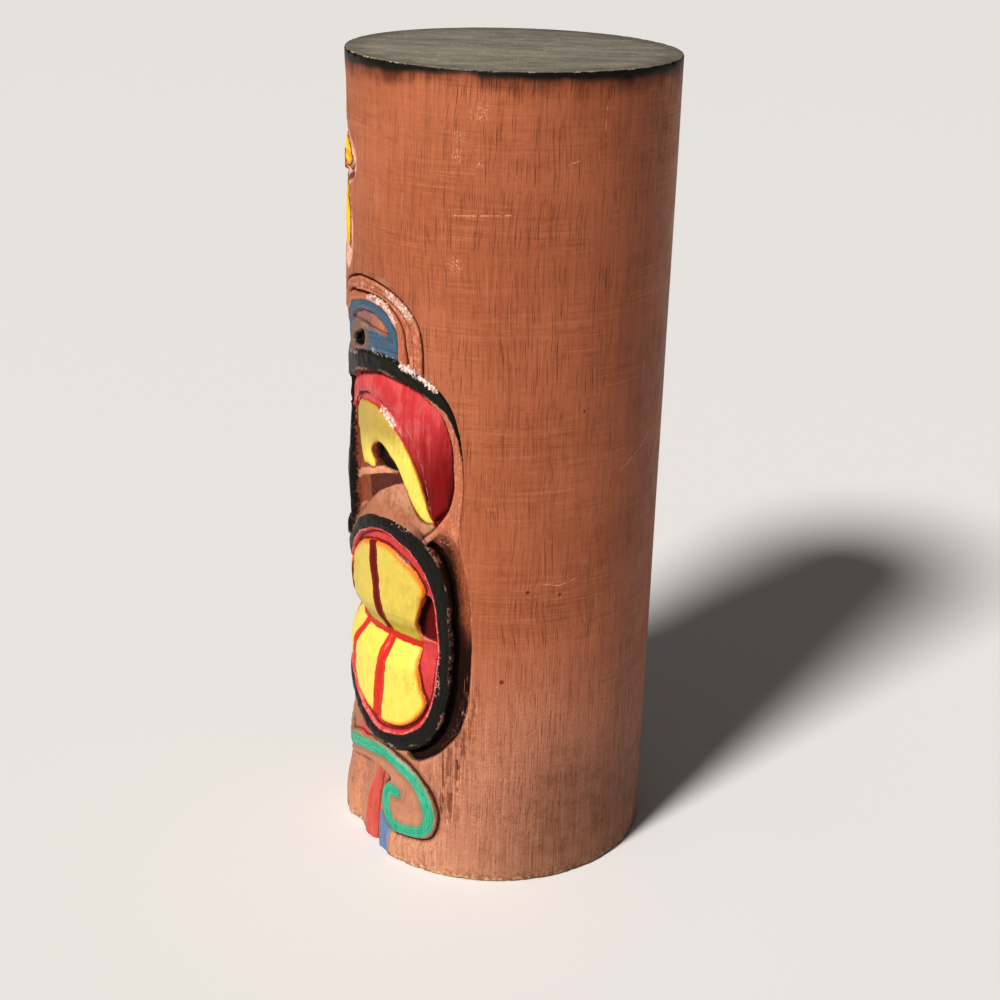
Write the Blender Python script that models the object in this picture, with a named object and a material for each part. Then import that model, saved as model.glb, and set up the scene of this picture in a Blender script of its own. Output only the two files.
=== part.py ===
"""A tiki statue carved from one log.

A round wooden post stands on its sawn underside. Its front is cut into a face: a five-petalled
flower on the forehead, arches over the eyes, one black brow, hooded eyes with heavy lids, a nose,
a wide mouth with two rows of teeth, and a scroll at each side of the chin above a fluted foot.

Metres, +Z up. The origin is the middle of the underside, and the face looks along -Y.
"""

import math

import bmesh
import bpy
import numpy as np

# The log
LOG_HEIGHT = 0.500
LOG_RADIUS = 0.0973
BLANK_OVERLENGTH = 0.006
NET_PITCH = 0.0016
FACET_BUDGET = 9300

# Every outline below is drawn on the rolled-out side of the log, as (degrees round from the
# middle of the front, fiftieths of the height). One half is drawn and the other mirrors it.
FIFTIETH = LOG_HEIGHT / 50
DEGREE = math.radians(1) * LOG_RADIUS

CARVED_HALF_TURN = 79

# The flower
FLOWER_CENTRE = (0.0, 43.0)
PETALS = 5
PETAL_LENGTH = 0.047
PETAL_HALF_WIDTH = 0.0125
PETAL_CUT_WIDTH = 0.0045
PETAL_CUT_DEPTH = 0.0042
PETAL_RISE = 0.0038
PETAL_DOME = 0.009
FLOWER_EYE_RADIUS = 0.007

# The arches over the eyes
ARCH_GROOVE_WIDTH = 0.0042
ARCH_GROOVE_DEPTH = 0.0026
ARCH_SINK = 0.0012
ARCH_LENS_DEPTH = 0.0022
ARCH_HOLLOW_DEPTH = 0.0065
OUTER_ARCH = (
    (0, 35.3), (7, 36.1), (14, 36.8), (23, 37.4), (33, 37.6), (45, 36.9), (52.5, 35.7), (56, 34), (56.2, 32.9),
)
INNER_ARCH = ((0, 34.2), (7, 35.1), (14, 36), (28, 36.8), (39, 36.3), (47, 35.2), (50.3, 33.3))
ARCH_LENS = ((7, 34.3), (22, 35.4), (33, 35.3), (40, 34.5), (28, 34.6), (20, 34.5))
ARCH_HOLLOW = ((10, 33), (14, 33.7), (20, 34.2), (24, 34.4), (24.5, 33.6), (18, 33.2))

# The brow
BROW_DEPTH = 0.0012
BROW_TOP = ((0, 32), (9, 32.5), (29.5, 33.3), (47.2, 33.1), (59.5, 32.1), (67.7, 30.6), (70.9, 29))
BROW_BOTTOM = ((64.6, 30.4), (55.4, 31.7), (45, 32.1), (32.7, 32.2), (20, 31.6), (9.2, 30.8), (0, 30.6))

# The eye socket, with the hood, the lid, the hollow and the cheek in it
WALL = 0.0022
SOCKET = (
    (6.5, 30.6), (9.2, 30.8), (20, 31.6), (32.7, 32.2), (45, 32.1), (55.4, 31.7), (64, 30.5), (67.8, 28.8),
    (68.6, 26.8), (67.6, 25), (63.5, 23.8), (56, 22.6), (46, 22.4), (34, 22.2), (22, 21.4), (12, 20.3),
    (9.5, 21.5), (9.8, 23), (9, 25), (7.4, 27), (6.2, 29),
)
HOOD_EDGE = (
    (6.2, 29), (6.5, 30.6), (20, 31.6), (32.7, 32.2), (45, 32.1), (55.4, 31.7), (64, 30.5), (67.8, 28.8),
    (68.6, 26.8), (67.6, 25), (62, 23.9),
)
HOOD_LINE = ((9, 28.9), (15, 29.9), (26, 30.4), (41, 30), (48.5, 29), (53.2, 27.8), (57.5, 25.6), (59.6, 24))
HOOD_TROUGH = 0.0066
HOOD_CREST = 0.0030
HOOD_LINE_DEPTH = 0.0048
LID = (
    (12.7, 28.6), (17, 29.4), (24, 29.8), (31, 29.7), (38.1, 29.3), (45, 28.4), (50.5, 27.2), (55, 25.6),
    (58.5, 24.2), (60, 23.7), (56.5, 23.6), (52.5, 24), (49, 24.9), (46, 25.7), (42.9, 26.5), (38, 27.2),
    (33, 27.5), (28.8, 27.2), (27.4, 26.6), (28, 26), (24, 25.7), (17, 25.9), (16.5, 26.8), (13.5, 27.7),
)
LID_DEPTH = 0.0052
LEDGE = ((9, 24.3), (17, 25), (25, 25.5), (42, 26.4))
LEDGE_DEPTH = 0.0062
VALLEY = ((8, 21.6), (21, 23.2), (31.7, 24.5), (46.3, 25.6), (56, 25), (63, 24.1))
VALLEY_DEPTH = 0.0085
CHEEK_CREST = 0.0018
HOLLOW = ((27, 26.2), (28, 27.1), (33, 27.6), (38, 27.2), (42, 26.5), (36, 26.1))
HOLLOW_DEPTH = 0.0125

# The nose, sunk by these depths at these heights from its tip's underside up to the brow
NOSE_HEIGHTS = (20.7, 22.5, 24.3, 26.5, 28, 29.9, 31.5)
NOSE_DEPTHS = (0.0026, 0.0016, 0.0004, 0.0018, 0.0028, 0.0034, 0.0012)
NOSE_HALF_TURN = 12

# The mouth
MOUTH = (
    (0, 19.8), (5, 19.95), (10, 20.5), (16, 21.5), (24, 22.5), (33, 23.1), (46, 23.3), (56, 22.4),
    (62.5, 20.6), (66.8, 17.6), (67.6, 14.6), (66, 11.6), (61, 9.4), (52, 8.15), (42, 7.85), (32, 7.95),
    (20, 8.8), (10, 9.7), (0, 10.1),
)
LIP = (
    (0, 18.6), (6, 18.8), (10.4, 19.6), (18, 21), (27.8, 22), (38, 22.4), (46, 22.2), (54.8, 20.9),
    (60.5, 18.6), (62.6, 16), (62.8, 13.5), (60.5, 11.6), (56, 10.2), (46.4, 9.05), (38, 8.75), (31.2, 8.9),
    (20, 9.7), (12, 10.5), (0, 11.1),
)
TEETH = (
    (0, 17.9), (6, 18.2), (10.8, 19.2), (16, 20.1), (22.9, 20.9), (30, 21.3), (38.2, 21.4), (44, 21.1),
    (49.1, 20.5), (53.4, 19.2), (55.3, 17.6), (54.6, 16), (55.5, 14), (57.6, 12), (54.6, 10.6), (49, 9.7),
    (44, 9.4), (33, 9.5), (21, 10.1), (10, 11.3), (0, 12),
)
LIP_DEPTH = 0.0013
GUM_DEPTH = 0.0048
TEETH_DEPTH = 0.0022
TEETH_SHOULDER = 0.0030
BITE_HEIGHTS = ((0, 14.75), (20, 15), (40, 15.3), (62, 15.4))
BITE_DEPTH = 0.0090
BITE_SPREAD = 0.0090
TOOTH_GAPS = (((8, 21), (8, 9)), ((30.3, 21.6), (33, 19), (36, 16.5), (37, 15), (35, 12), (33.8, 9)))
TOOTH_GAP_WIDTH = 0.0042
TOOTH_GAP_DEPTH = 0.0016
CORNER = ((55.6, 17), (57.5, 19), (61, 18.4), (62.4, 16.6), (60, 16), (56, 16.1))
CORNER_DEPTH = 0.0105

# The channel round the outside of the mouth
CHANNEL = (
    (60, 22), (66, 23.3), (71, 21.9), (74, 20), (75.7, 16.5), (75, 13.4), (72.5, 10.9), (68, 9.3), (62, 8.3),
    (54, 7.7), (50, 9), (60, 12), (62, 16), (60, 20),
)
CHANNEL_DEPTH = 0.0105

# The scrolls
SCROLL = (
    (0, 6.1), (5, 6.15), (9.2, 6.4), (17.2, 7.1), (28, 7.55), (40, 7.75), (50.3, 7.15), (57, 6.4), (61.6, 5.4),
    (64.2, 3.9), (63, 2.8), (59.5, 2.2), (49.3, 1.9), (42, 2.05), (38.7, 2.8), (37.9, 3.9), (39.2, 4.9),
    (42.4, 5.55), (38, 5.9), (32.5, 6), (24, 5.8), (17.5, 5.4), (9, 4.7), (0, 4.3),
)
SCROLL_DEPTH = 0.0010
SCROLL_EDGE_DEPTH = 0.0036
SCROLL_EDGE_WIDTH = 0.009
CHIN_DEPTH = 0.0040
CHIN = ((0, 10.5), (12, 10), (24, 8.9), (34, 8.3), (44, 8), (40, 7.2), (20, 6.4), (0, 5.6))

# The fluted foot: the depth of the cut round the front of the foot, at each of these angles
FOOT = ((0, -1), (40, -1), (37.8, 2), (37.5, 4.2), (40, 5.6), (32, 5.9), (17, 5.3), (0, 4.2))
FLUTE_ANGLES = (0, 9, 12.5, 15.5, 19, 26, 29.5, 31.5, 35.5, 38, 44)
FLUTE_DEPTHS = (-0.0002, 0, 0.0022, 0.0054, 0.0048, 0.0026, 0.0042, 0.0070, 0.0026, 0.0012, 0.001)
FOOT_SWELL = 0.0018


def smooth(share):
    """Eases 0..1 with flat ends."""
    share = np.clip(share, 0.0, 1.0)
    return share * share * (3 - 2 * share)


def mirrored(half):
    """The whole closed outline whose one half is given, from the centre line round to it again."""
    return half + tuple((-turn, up) for turn, up in reversed(half) if turn != 0)


def rolled_out(points, closed=False, steps=6):
    """A smooth line in metres through the given points, with `steps` short pieces between two."""
    knots = np.array(points, float) * (DEGREE, FIFTIETH)
    if closed:
        knots = np.vstack((knots[-1], knots, knots[0], knots[1]))
    else:
        knots = np.vstack((2 * knots[0] - knots[1], knots, 2 * knots[-1] - knots[-2]))
    line = []
    for a, b, c, d in zip(knots, knots[1:], knots[2:], knots[3:]):
        for step in range(steps):
            t = step / steps
            line.append(0.5 * (2 * b + (c - a) * t + (2 * a - 5 * b + 4 * c - d) * t**2
                               + (3 * b - 3 * c + d - a) * t**3))
    if not closed:
        line.append(knots[-2])
    return np.array(line)


def distance(line, across, up, closed=False):
    """How far each place is from the line."""
    nearest = np.full(across.shape, np.inf)
    ends = np.vstack((line[1:], line[:1])) if closed else line[1:]
    for (x0, y0), (x1, y1) in zip(line, ends):
        run_x = x1 - x0
        run_y = y1 - y0
        share = np.clip(((across - x0) * run_x + (up - y0) * run_y) / (run_x**2 + run_y**2), 0, 1)
        gap = (across - x0 - share * run_x) ** 2 + (up - y0 - share * run_y) ** 2
        nearest = np.minimum(nearest, gap)
    return np.sqrt(nearest)


def reach(outline, across, up):
    """The distance to a closed outline, negative inside it."""
    line = rolled_out(outline, closed=True)
    within = np.zeros(across.shape, bool)
    for (x0, y0), (x1, y1) in zip(line, np.vstack((line[1:], line[:1]))):
        crosses = (y0 > up) != (y1 > up)
        level = np.where(crosses, up - y0, 0) / (y1 - y0 if y1 != y0 else 1)
        within ^= crosses & (across < x0 + level * (x1 - x0))
    gap = distance(line, across, up, closed=True)
    return np.where(within, -gap, gap)


def laid(ground, surface, gap, wall=WALL):
    """The surface inside an outline and the ground outside it, with a sloping wall between."""
    share = smooth(0.5 - gap / wall)
    return ground * (1 - share) + surface * share


def flower(depth, across, up):
    turn_0, height = FLOWER_CENTRE
    x = across - turn_0 * DEGREE
    y = up - height * FIFTIETH
    flank = (PETAL_LENGTH**2 / 4 + PETAL_HALF_WIDTH**2) / (2 * PETAL_HALF_WIDTH)
    gap = np.full(across.shape, np.inf)
    for petal in range(PETALS):
        angle = math.pi / 2 + 2 * math.pi * petal / PETALS
        along = x * math.cos(angle) + y * math.sin(angle) - PETAL_LENGTH / 2
        aside = np.abs(y * math.cos(angle) - x * math.sin(angle)) + flank - PETAL_HALF_WIDTH
        gap = np.minimum(gap, np.hypot(along, aside) - flank)
    cut = PETAL_CUT_DEPTH * (1 - np.clip(gap / PETAL_CUT_WIDTH, 0, 1))
    petals = PETAL_CUT_DEPTH - PETAL_RISE * np.sqrt(smooth(-gap / PETAL_DOME))
    eye = np.hypot(x, y) - FLOWER_EYE_RADIUS
    petals = laid(petals, 0.0, eye)
    return np.where(gap > 0, np.maximum(depth, cut), petals)


def arches(depth, across, up):
    for arch in (OUTER_ARCH, INNER_ARCH):
        gap = distance(rolled_out(arch), across, up)
        depth = np.maximum(depth, ARCH_GROOVE_DEPTH * (1 - smooth(2 * gap / ARCH_GROOVE_WIDTH)))
    field = reach(OUTER_ARCH + ((30, 31.8), (0, 31.5)), across, up)
    depth = depth + ARCH_SINK * smooth(-field / (2 * ARCH_GROOVE_WIDTH))
    depth = laid(depth, ARCH_SINK + ARCH_LENS_DEPTH, reach(ARCH_LENS, across, up))
    return laid(depth, ARCH_HOLLOW_DEPTH, reach(ARCH_HOLLOW, across, up))


def socket(depth, across, up):
    """The sunk eye: hood above, lid inside it, then the hollow, a ledge and the cheek."""
    edge = distance(rolled_out(HOOD_EDGE), across, up)
    hood_line = distance(rolled_out(HOOD_LINE), across, up)
    valley = distance(rolled_out(VALLEY), across, up)
    ledge = distance(rolled_out(LEDGE), across, up)
    mouth = np.maximum(reach(mirrored(MOUTH), across, up), 0)

    share = edge / np.maximum(edge + hood_line, 1e-6)
    hood = HOOD_TROUGH + (HOOD_LINE_DEPTH - HOOD_TROUGH) * share
    hood -= (HOOD_LINE_DEPTH - HOOD_CREST) * np.sin(math.pi * share)
    facet = VALLEY_DEPTH + (LEDGE_DEPTH - VALLEY_DEPTH) * valley / np.maximum(valley + ledge, 1e-6)
    cheek = VALLEY_DEPTH + (CHEEK_CREST - VALLEY_DEPTH) * valley / np.maximum(valley + mouth, 1e-6)

    below_valley = reach(VALLEY + ((64, 15), (8, 15)), across, up)
    above_line = reach(HOOD_LINE + ((75, 24), (75, 36), (0, 36), (0, 28.9)), across, up)
    inside = laid(facet, cheek, below_valley)
    inside = laid(inside, hood, above_line)
    inside = laid(inside, LID_DEPTH, reach(LID, across, up), 1.5 * WALL)
    inside = laid(inside, HOLLOW_DEPTH, reach(HOLLOW, across, up), 1.5 * WALL)
    return laid(depth, inside, reach(SOCKET, across, up))


def nose(depth, across, up):
    """The ridge between the sockets, sunk a little below the log's face along its length."""
    heights = np.multiply(NOSE_HEIGHTS, FIFTIETH)
    ridge = np.interp(up, heights, NOSE_DEPTHS)
    share = smooth(reach(SOCKET, across, up) / WALL + 0.5)
    share = share * smooth(1.5 - across / (NOSE_HALF_TURN * DEGREE))
    share = share * smooth((up - heights[0]) / WALL + 1) * smooth((heights[-1] - up) / WALL + 1)
    return np.maximum(depth, ridge * share)


def mouth(depth, across, up):
    """A raised lip round two rows of teeth, which fall back to the bite between them."""
    bite_turns, bite_ups = zip(*BITE_HEIGHTS)
    bite = np.interp(across, np.multiply(bite_turns, DEGREE), np.multiply(bite_ups, FIFTIETH))
    fall = BITE_DEPTH * np.exp(-(((up - bite) / BITE_SPREAD) ** 2) / 2)
    teeth_gap = reach(mirrored(TEETH), across, up)
    teeth = TEETH_DEPTH + fall
    for gap_line in TOOTH_GAPS:
        gap = distance(rolled_out(gap_line), across, up)
        teeth = teeth + TOOTH_GAP_DEPTH * (1 - smooth(2 * gap / TOOTH_GAP_WIDTH))
    inside = laid(GUM_DEPTH + 0.5 * fall, teeth, teeth_gap, TEETH_SHOULDER)
    inside = laid(inside, CORNER_DEPTH, reach(CORNER, across, up), TEETH_SHOULDER)
    lip_gap = reach(mirrored(LIP), across, up)
    surface = laid(LIP_DEPTH, inside, lip_gap + WALL)
    return laid(depth, surface, reach(mirrored(MOUTH), across, up) - WALL / 2)


def channel(depth, across, up):
    """The groove cut along the outer side of the mouth, deepest against the lip."""
    lip = np.maximum(reach(mirrored(MOUTH), across, up), 0)
    bank = -np.minimum(reach(CHANNEL, across, up), 0)
    fall = CHANNEL_DEPTH * (bank / np.maximum(bank + lip, 1e-6)) ** 0.7
    return np.maximum(depth, fall * smooth(bank / WALL))


def chin_and_foot(depth, across, up):
    """The sunk chin, the flutes of the foot, and the scrolls that stand above both."""
    depth = laid(depth, CHIN_DEPTH, reach(mirrored(CHIN), across, up), 2 * WALL)
    flutes = np.interp(across, np.multiply(FLUTE_ANGLES, DEGREE), FLUTE_DEPTHS)
    foot_gap = reach(FOOT, across, up)
    flutes = flutes + CHIN_DEPTH * smooth((up - 2 * FIFTIETH) / (3 * FIFTIETH))
    depth = laid(depth, flutes, foot_gap, 2 * WALL)
    scroll_gap = reach(mirrored(SCROLL), across, up)
    fall = SCROLL_EDGE_DEPTH * (1 - smooth(scroll_gap / SCROLL_EDGE_WIDTH))
    depth = np.maximum(depth, fall * smooth(across / (30 * DEGREE)))
    depth = laid(depth, SCROLL_DEPTH, scroll_gap)
    swell = FOOT_SWELL * smooth(1 - across / (14 * DEGREE)) * smooth(1.6 - up / (2 * FIFTIETH))
    return depth - swell


def brow(depth, across, up):
    return laid(depth, BROW_DEPTH, reach(mirrored(BROW_TOP + BROW_BOTTOM), across, up))


def carving(across, up):
    """How deep the cutting goes below the log's face, at each place on the rolled-out side."""
    across = np.abs(across)
    depth = np.zeros(across.shape)
    for cut, lowest, highest in CUTS:
        near = (across < CARVED_HALF_TURN * DEGREE) & (up > lowest * FIFTIETH) & (up < highest * FIFTIETH)
        depth[near] = cut(depth[near], across[near], up[near])
    return depth


# Each cut with the stretch of the height that it keeps to, in the order of carving
CUTS = (
    (flower, 37.8, 48.8),
    (arches, 30, 38.4),
    (socket, 19, 33),
    (nose, 19, 32.4),
    (brow, 28, 34.2),
    (channel, 7, 24.2),
    (chin_and_foot, -2, 11.2),
    (mouth, 7, 24.2),
)


def log_blank():
    """A round post with a fine net of points on its side, a little longer than the statue."""
    bm = bmesh.new()
    length = LOG_HEIGHT + 2 * BLANK_OVERLENGTH
    bmesh.ops.create_cone(bm, cap_ends=True, segments=round(2 * math.pi * LOG_RADIUS / NET_PITCH),
                          radius1=LOG_RADIUS, radius2=LOG_RADIUS, depth=length)
    bmesh.ops.translate(bm, verts=bm.verts, vec=(0, 0, LOG_HEIGHT / 2))
    uprights = [edge for edge in bm.edges if edge.calc_length() > LOG_HEIGHT]
    bmesh.ops.subdivide_edges(bm, edges=uprights, cuts=round(length / NET_PITCH) - 1, use_grid_fill=True)
    return bm


def cut_to_shape(mesh):
    """Moves every point of the blank's side in, along its radius, by the depth of the carving."""
    points = np.empty(len(mesh.vertices) * 3)
    mesh.vertices.foreach_get("co", points)
    points = points.reshape(-1, 3)
    turn = np.arctan2(points[:, 0], -points[:, 1])
    up = np.clip(points[:, 2], 0, LOG_HEIGHT)
    radius = LOG_RADIUS - carving(turn * LOG_RADIUS, up)
    points[:, 0] = radius * np.sin(turn)
    points[:, 1] = -radius * np.cos(turn)
    mesh.vertices.foreach_set("co", points.ravel())
    mesh.update()


def sawn_length():
    """The space between the two saw cuts, flat at the underside and the top."""
    bm = bmesh.new()
    bmesh.ops.create_cube(bm, size=1)
    bmesh.ops.scale(bm, verts=bm.verts, vec=(3 * LOG_RADIUS, 3 * LOG_RADIUS, LOG_HEIGHT))
    bmesh.ops.translate(bm, verts=bm.verts, vec=(0, 0, LOG_HEIGHT / 2))
    mesh = bpy.data.meshes.new("sawn_length")
    bm.to_mesh(mesh)
    bm.free()
    block = bpy.data.objects.new("sawn_length", mesh)
    block.hide_render = True
    block.display_type = "WIRE"
    bpy.context.collection.objects.link(block)
    return block


def painted_wood():
    material = bpy.data.materials.new("painted_wood")
    material.use_nodes = True
    shader = material.node_tree.nodes["Principled BSDF"]
    shader.inputs["Base Color"].default_value = (0.43, 0.12, 0.055, 1)
    shader.inputs["Roughness"].default_value = 0.55
    shader.inputs["Metallic"].default_value = 0.0
    return material


def carved_log():
    bm = log_blank()
    mesh = bpy.data.meshes.new("carved_log")
    bm.to_mesh(mesh)
    bm.free()
    mesh.shade_smooth()
    cut_to_shape(mesh)
    mesh.materials.append(painted_wood())
    log = bpy.data.objects.new("carved_log", mesh)
    bpy.context.collection.objects.link(log)

    facets = log.modifiers.new("facets", "DECIMATE")
    mesh.calc_loop_triangles()
    facets.ratio = min(1.0, FACET_BUDGET / len(mesh.loop_triangles))
    saw = log.modifiers.new("saw_cuts", "BOOLEAN")
    saw.operation = "INTERSECT"
    saw.solver = "EXACT"
    saw.object = sawn_length()
    return log


for left_over in list(bpy.data.objects):
    bpy.data.objects.remove(left_over, do_unlink=True)
carved_log()
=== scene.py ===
import math

import bmesh
import bpy
import numpy as np
from mathutils import Matrix, Vector


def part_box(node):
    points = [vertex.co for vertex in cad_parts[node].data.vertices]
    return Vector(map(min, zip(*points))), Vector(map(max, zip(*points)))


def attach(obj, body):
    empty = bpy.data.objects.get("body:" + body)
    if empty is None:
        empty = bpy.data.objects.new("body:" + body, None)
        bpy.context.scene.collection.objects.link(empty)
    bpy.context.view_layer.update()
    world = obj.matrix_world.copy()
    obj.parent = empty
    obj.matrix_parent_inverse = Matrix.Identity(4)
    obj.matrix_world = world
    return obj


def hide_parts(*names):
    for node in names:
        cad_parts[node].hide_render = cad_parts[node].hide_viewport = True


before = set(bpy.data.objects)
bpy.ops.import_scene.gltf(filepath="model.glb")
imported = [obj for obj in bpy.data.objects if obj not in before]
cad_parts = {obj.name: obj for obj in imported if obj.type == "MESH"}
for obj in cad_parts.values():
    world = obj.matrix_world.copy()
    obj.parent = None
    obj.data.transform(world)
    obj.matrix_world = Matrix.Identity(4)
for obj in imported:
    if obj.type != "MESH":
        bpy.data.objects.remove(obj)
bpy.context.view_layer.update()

# The log
# The statue is one round post of coarse tropical wood, turned true and sawn flat at both ends. The
# front of its side carries a fine net of points, which the cuts below move in; the back stays plain.
lowest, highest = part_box("carved_log")
HEIGHT = highest.z - lowest.z
RADIUS = (highest.x - lowest.x) / 2
BACK_NET = 0.0023
FRONT_NET_CUTS = 3
CARVED_HALF_TURN = math.radians(80)
RIM_ROUNDING = 0.0011
FLAT_FACE = 0.9

# Outlines are drawn on the rolled-out side, as (degrees round from the middle of the front,
# fiftieths of the height). One half is drawn, and the other half mirrors it.
FIFTIETH = HEIGHT / 50
DEGREE = math.radians(1) * RADIUS
WALL = 0.0018

cuts = []
marks = {}


def log_blank():
    """The turned post, with its rims rounded and its front netted finely."""
    bm = bmesh.new()
    bmesh.ops.create_cone(bm, cap_ends=True, segments=round(2 * math.pi * RADIUS / BACK_NET),
                          radius1=RADIUS, radius2=RADIUS, depth=HEIGHT)
    bmesh.ops.translate(bm, verts=bm.verts, vec=(0, 0, HEIGHT / 2))
    uprights = [edge for edge in bm.edges if edge.calc_length() > HEIGHT / 2]
    bmesh.ops.subdivide_edges(bm, edges=uprights, cuts=round(HEIGHT / BACK_NET) - 1, use_grid_fill=True)
    rims = [edge for edge in bm.edges if len({round(face.normal.z) for face in edge.link_faces}) == 2]
    bmesh.ops.bevel(bm, geom=rims, offset=RIM_ROUNDING, affect="EDGES", segments=3, profile=0.5, material=-1)
    front = set()
    for face in bm.faces:
        middle = face.calc_center_median()
        if abs(face.normal.z) < FLAT_FACE and abs(math.atan2(middle.x, -middle.y)) < CARVED_HALF_TURN:
            front.update(face.edges)
    bmesh.ops.subdivide_edges(bm, edges=list(front), cuts=FRONT_NET_CUTS, use_grid_fill=True)
    return bm


def smooth(share):
    """Eases 0..1 with flat ends."""
    share = np.clip(share, 0.0, 1.0)
    return share * share * (3 - 2 * share)


def mottle(across, up, width, height, seed):
    """Soft random relief from -1 to 1, whose spots measure width by height."""
    cells = 64
    lattice = np.random.default_rng(seed).uniform(-1, 1, (cells, cells))
    column = across / width + 1000
    row = up / height + 1000
    left = np.floor(column).astype(int)
    below = np.floor(row).astype(int)
    east = smooth(column - left)
    north = smooth(row - below)
    low, high = [lattice[left % cells, level % cells] * (1 - east)
                 + lattice[(left + 1) % cells, level % cells] * east for level in (below, below + 1)]
    return low * (1 - north) + high * north


def mirrored(half):
    """The whole closed outline whose one half is given, from the centre line round to it again."""
    return half + tuple((-turn, up) for turn, up in reversed(half) if turn != 0)


def rolled_out(points, closed=False, steps=6):
    """A smooth line in metres through the given points, with `steps` short pieces between two."""
    knots = np.array(points, float) * (DEGREE, FIFTIETH)
    if closed:
        knots = np.vstack((knots[-1], knots, knots[0], knots[1]))
    else:
        knots = np.vstack((2 * knots[0] - knots[1], knots, 2 * knots[-1] - knots[-2]))
    line = []
    for a, b, c, d in zip(knots, knots[1:], knots[2:], knots[3:]):
        for step in range(steps):
            t = step / steps
            line.append(0.5 * (2 * b + (c - a) * t + (2 * a - 5 * b + 4 * c - d) * t**2
                               + (3 * b - 3 * c + d - a) * t**3))
    if not closed:
        line.append(knots[-2])
    return np.array(line)


def distance(line, across, up, closed=False):
    """How far each place is from the line."""
    nearest = np.full(across.shape, np.inf)
    ends = np.vstack((line[1:], line[:1])) if closed else line[1:]
    for (x0, y0), (x1, y1) in zip(line, ends):
        run_x = x1 - x0
        run_y = y1 - y0
        share = np.clip(((across - x0) * run_x + (up - y0) * run_y) / (run_x**2 + run_y**2), 0, 1)
        gap = (across - x0 - share * run_x) ** 2 + (up - y0 - share * run_y) ** 2
        nearest = np.minimum(nearest, gap)
    return np.sqrt(nearest)


def reach(outline, across, up):
    """The distance to a closed outline, negative inside it."""
    line = rolled_out(outline, closed=True)
    within = np.zeros(across.shape, bool)
    for (x0, y0), (x1, y1) in zip(line, np.vstack((line[1:], line[:1]))):
        crosses = (y0 > up) != (y1 > up)
        level = np.where(crosses, up - y0, 0) / (y1 - y0 if y1 != y0 else 1)
        within ^= crosses & (across < x0 + level * (x1 - x0))
    gap = distance(line, across, up, closed=True)
    return np.where(within, -gap, gap)


def outlined(points):
    """Measures how far places are from a closed outline, negative inside it."""
    return lambda across, up: reach(points, across, up)


def lined(points):
    """Measures how far places are from an open line."""
    return lambda across, up: distance(rolled_out(points), across, up)


def laid(ground, surface, gap, wall=WALL):
    """The surface inside an outline and the ground outside it, with a sloping wall between."""
    share = smooth(0.5 - gap / wall)
    return ground * (1 - share) + surface * share


# The flower
# Five leaf-shaped petals round a small eye, on the forehead. A gouge has sloped the wood down to each
# petal's edge, and the petals are domed, so they stand level with the log in the middle.
FLOWER_EYE = (0, 43.6)
FLOWER_EYE_RADIUS = 0.0066
UP_PETAL = ((0, 44.4), (1.4, 45.4), (2.9, 46.6), (2.7, 47.5), (1.5, 48.1), (0, 48.4))
SIDE_PETAL = (
    (0.8, 44.1), (3, 45), (6, 45.25), (9.5, 44.95), (13, 44.45), (16.5, 43.9), (13, 43.4), (9, 43.2),
    (4, 43.3), (1.2, 43.6),
)
LOW_PETAL = (
    (1.2, 43), (4, 42.6), (8, 42), (11, 41), (12.4, 40), (12, 39), (9.5, 38.4), (5.5, 38.8), (2.6, 40.2),
    (0.8, 42),
)
PETAL_VEINS = (((0, 43.6), (0, 47.8)), ((0, 43.6), (8, 44.2), (15, 43.9)), ((0, 43.6), (6, 41), (10, 38.9)))
PETAL_CUT_WIDTH = 0.0110
PETAL_CUT_DEPTH = 0.0030
PETAL_PROUD = 0.0001
PETAL_DOME = 0.0075
PETAL_NOTCH = 0.0022
PETAL_NOTCH_WIDTH = 0.0030
PETAL_VEIN_DEPTH = 0.0006
PETAL_VEIN_WIDTH = 0.0022


def petal_gap(across, up):
    gap = reach(mirrored(UP_PETAL), across, up)
    for petal in (SIDE_PETAL, LOW_PETAL):
        gap = np.minimum(gap, reach(petal, across, up))
    return gap


def petal_vein(across, up):
    veins = [distance(rolled_out(vein), across, up) for vein in PETAL_VEINS]
    return np.minimum(np.minimum(veins[0], veins[1]), veins[2])


def eye_gap(across, up):
    turn, height = FLOWER_EYE
    return np.hypot(across - turn * DEGREE, up - height * FIFTIETH) - FLOWER_EYE_RADIUS


def cut_flower(depth, across, up):
    gap = petal_gap(across, up)
    cut = PETAL_CUT_DEPTH * (1 - np.clip(gap / PETAL_CUT_WIDTH, 0, 1)) ** 1.4
    cut = cut + PETAL_NOTCH * (1 - smooth(gap / PETAL_NOTCH_WIDTH))
    petals = PETAL_CUT_DEPTH - (PETAL_CUT_DEPTH + PETAL_PROUD) * np.sqrt(smooth(-gap / PETAL_DOME))
    vein = 1 - smooth(petal_vein(across, up) / PETAL_VEIN_WIDTH)
    petals = petals + PETAL_VEIN_DEPTH * vein * smooth(-gap / PETAL_DOME)
    surface = np.where(gap > 0, np.maximum(depth, cut), petals)
    return laid(surface, -PETAL_PROUD, eye_gap(across, up))


cuts.append((cut_flower, 37, 49.4))
marks.update(petal=petal_gap, petal_vein=petal_vein, flower_eye=eye_gap)

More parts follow.
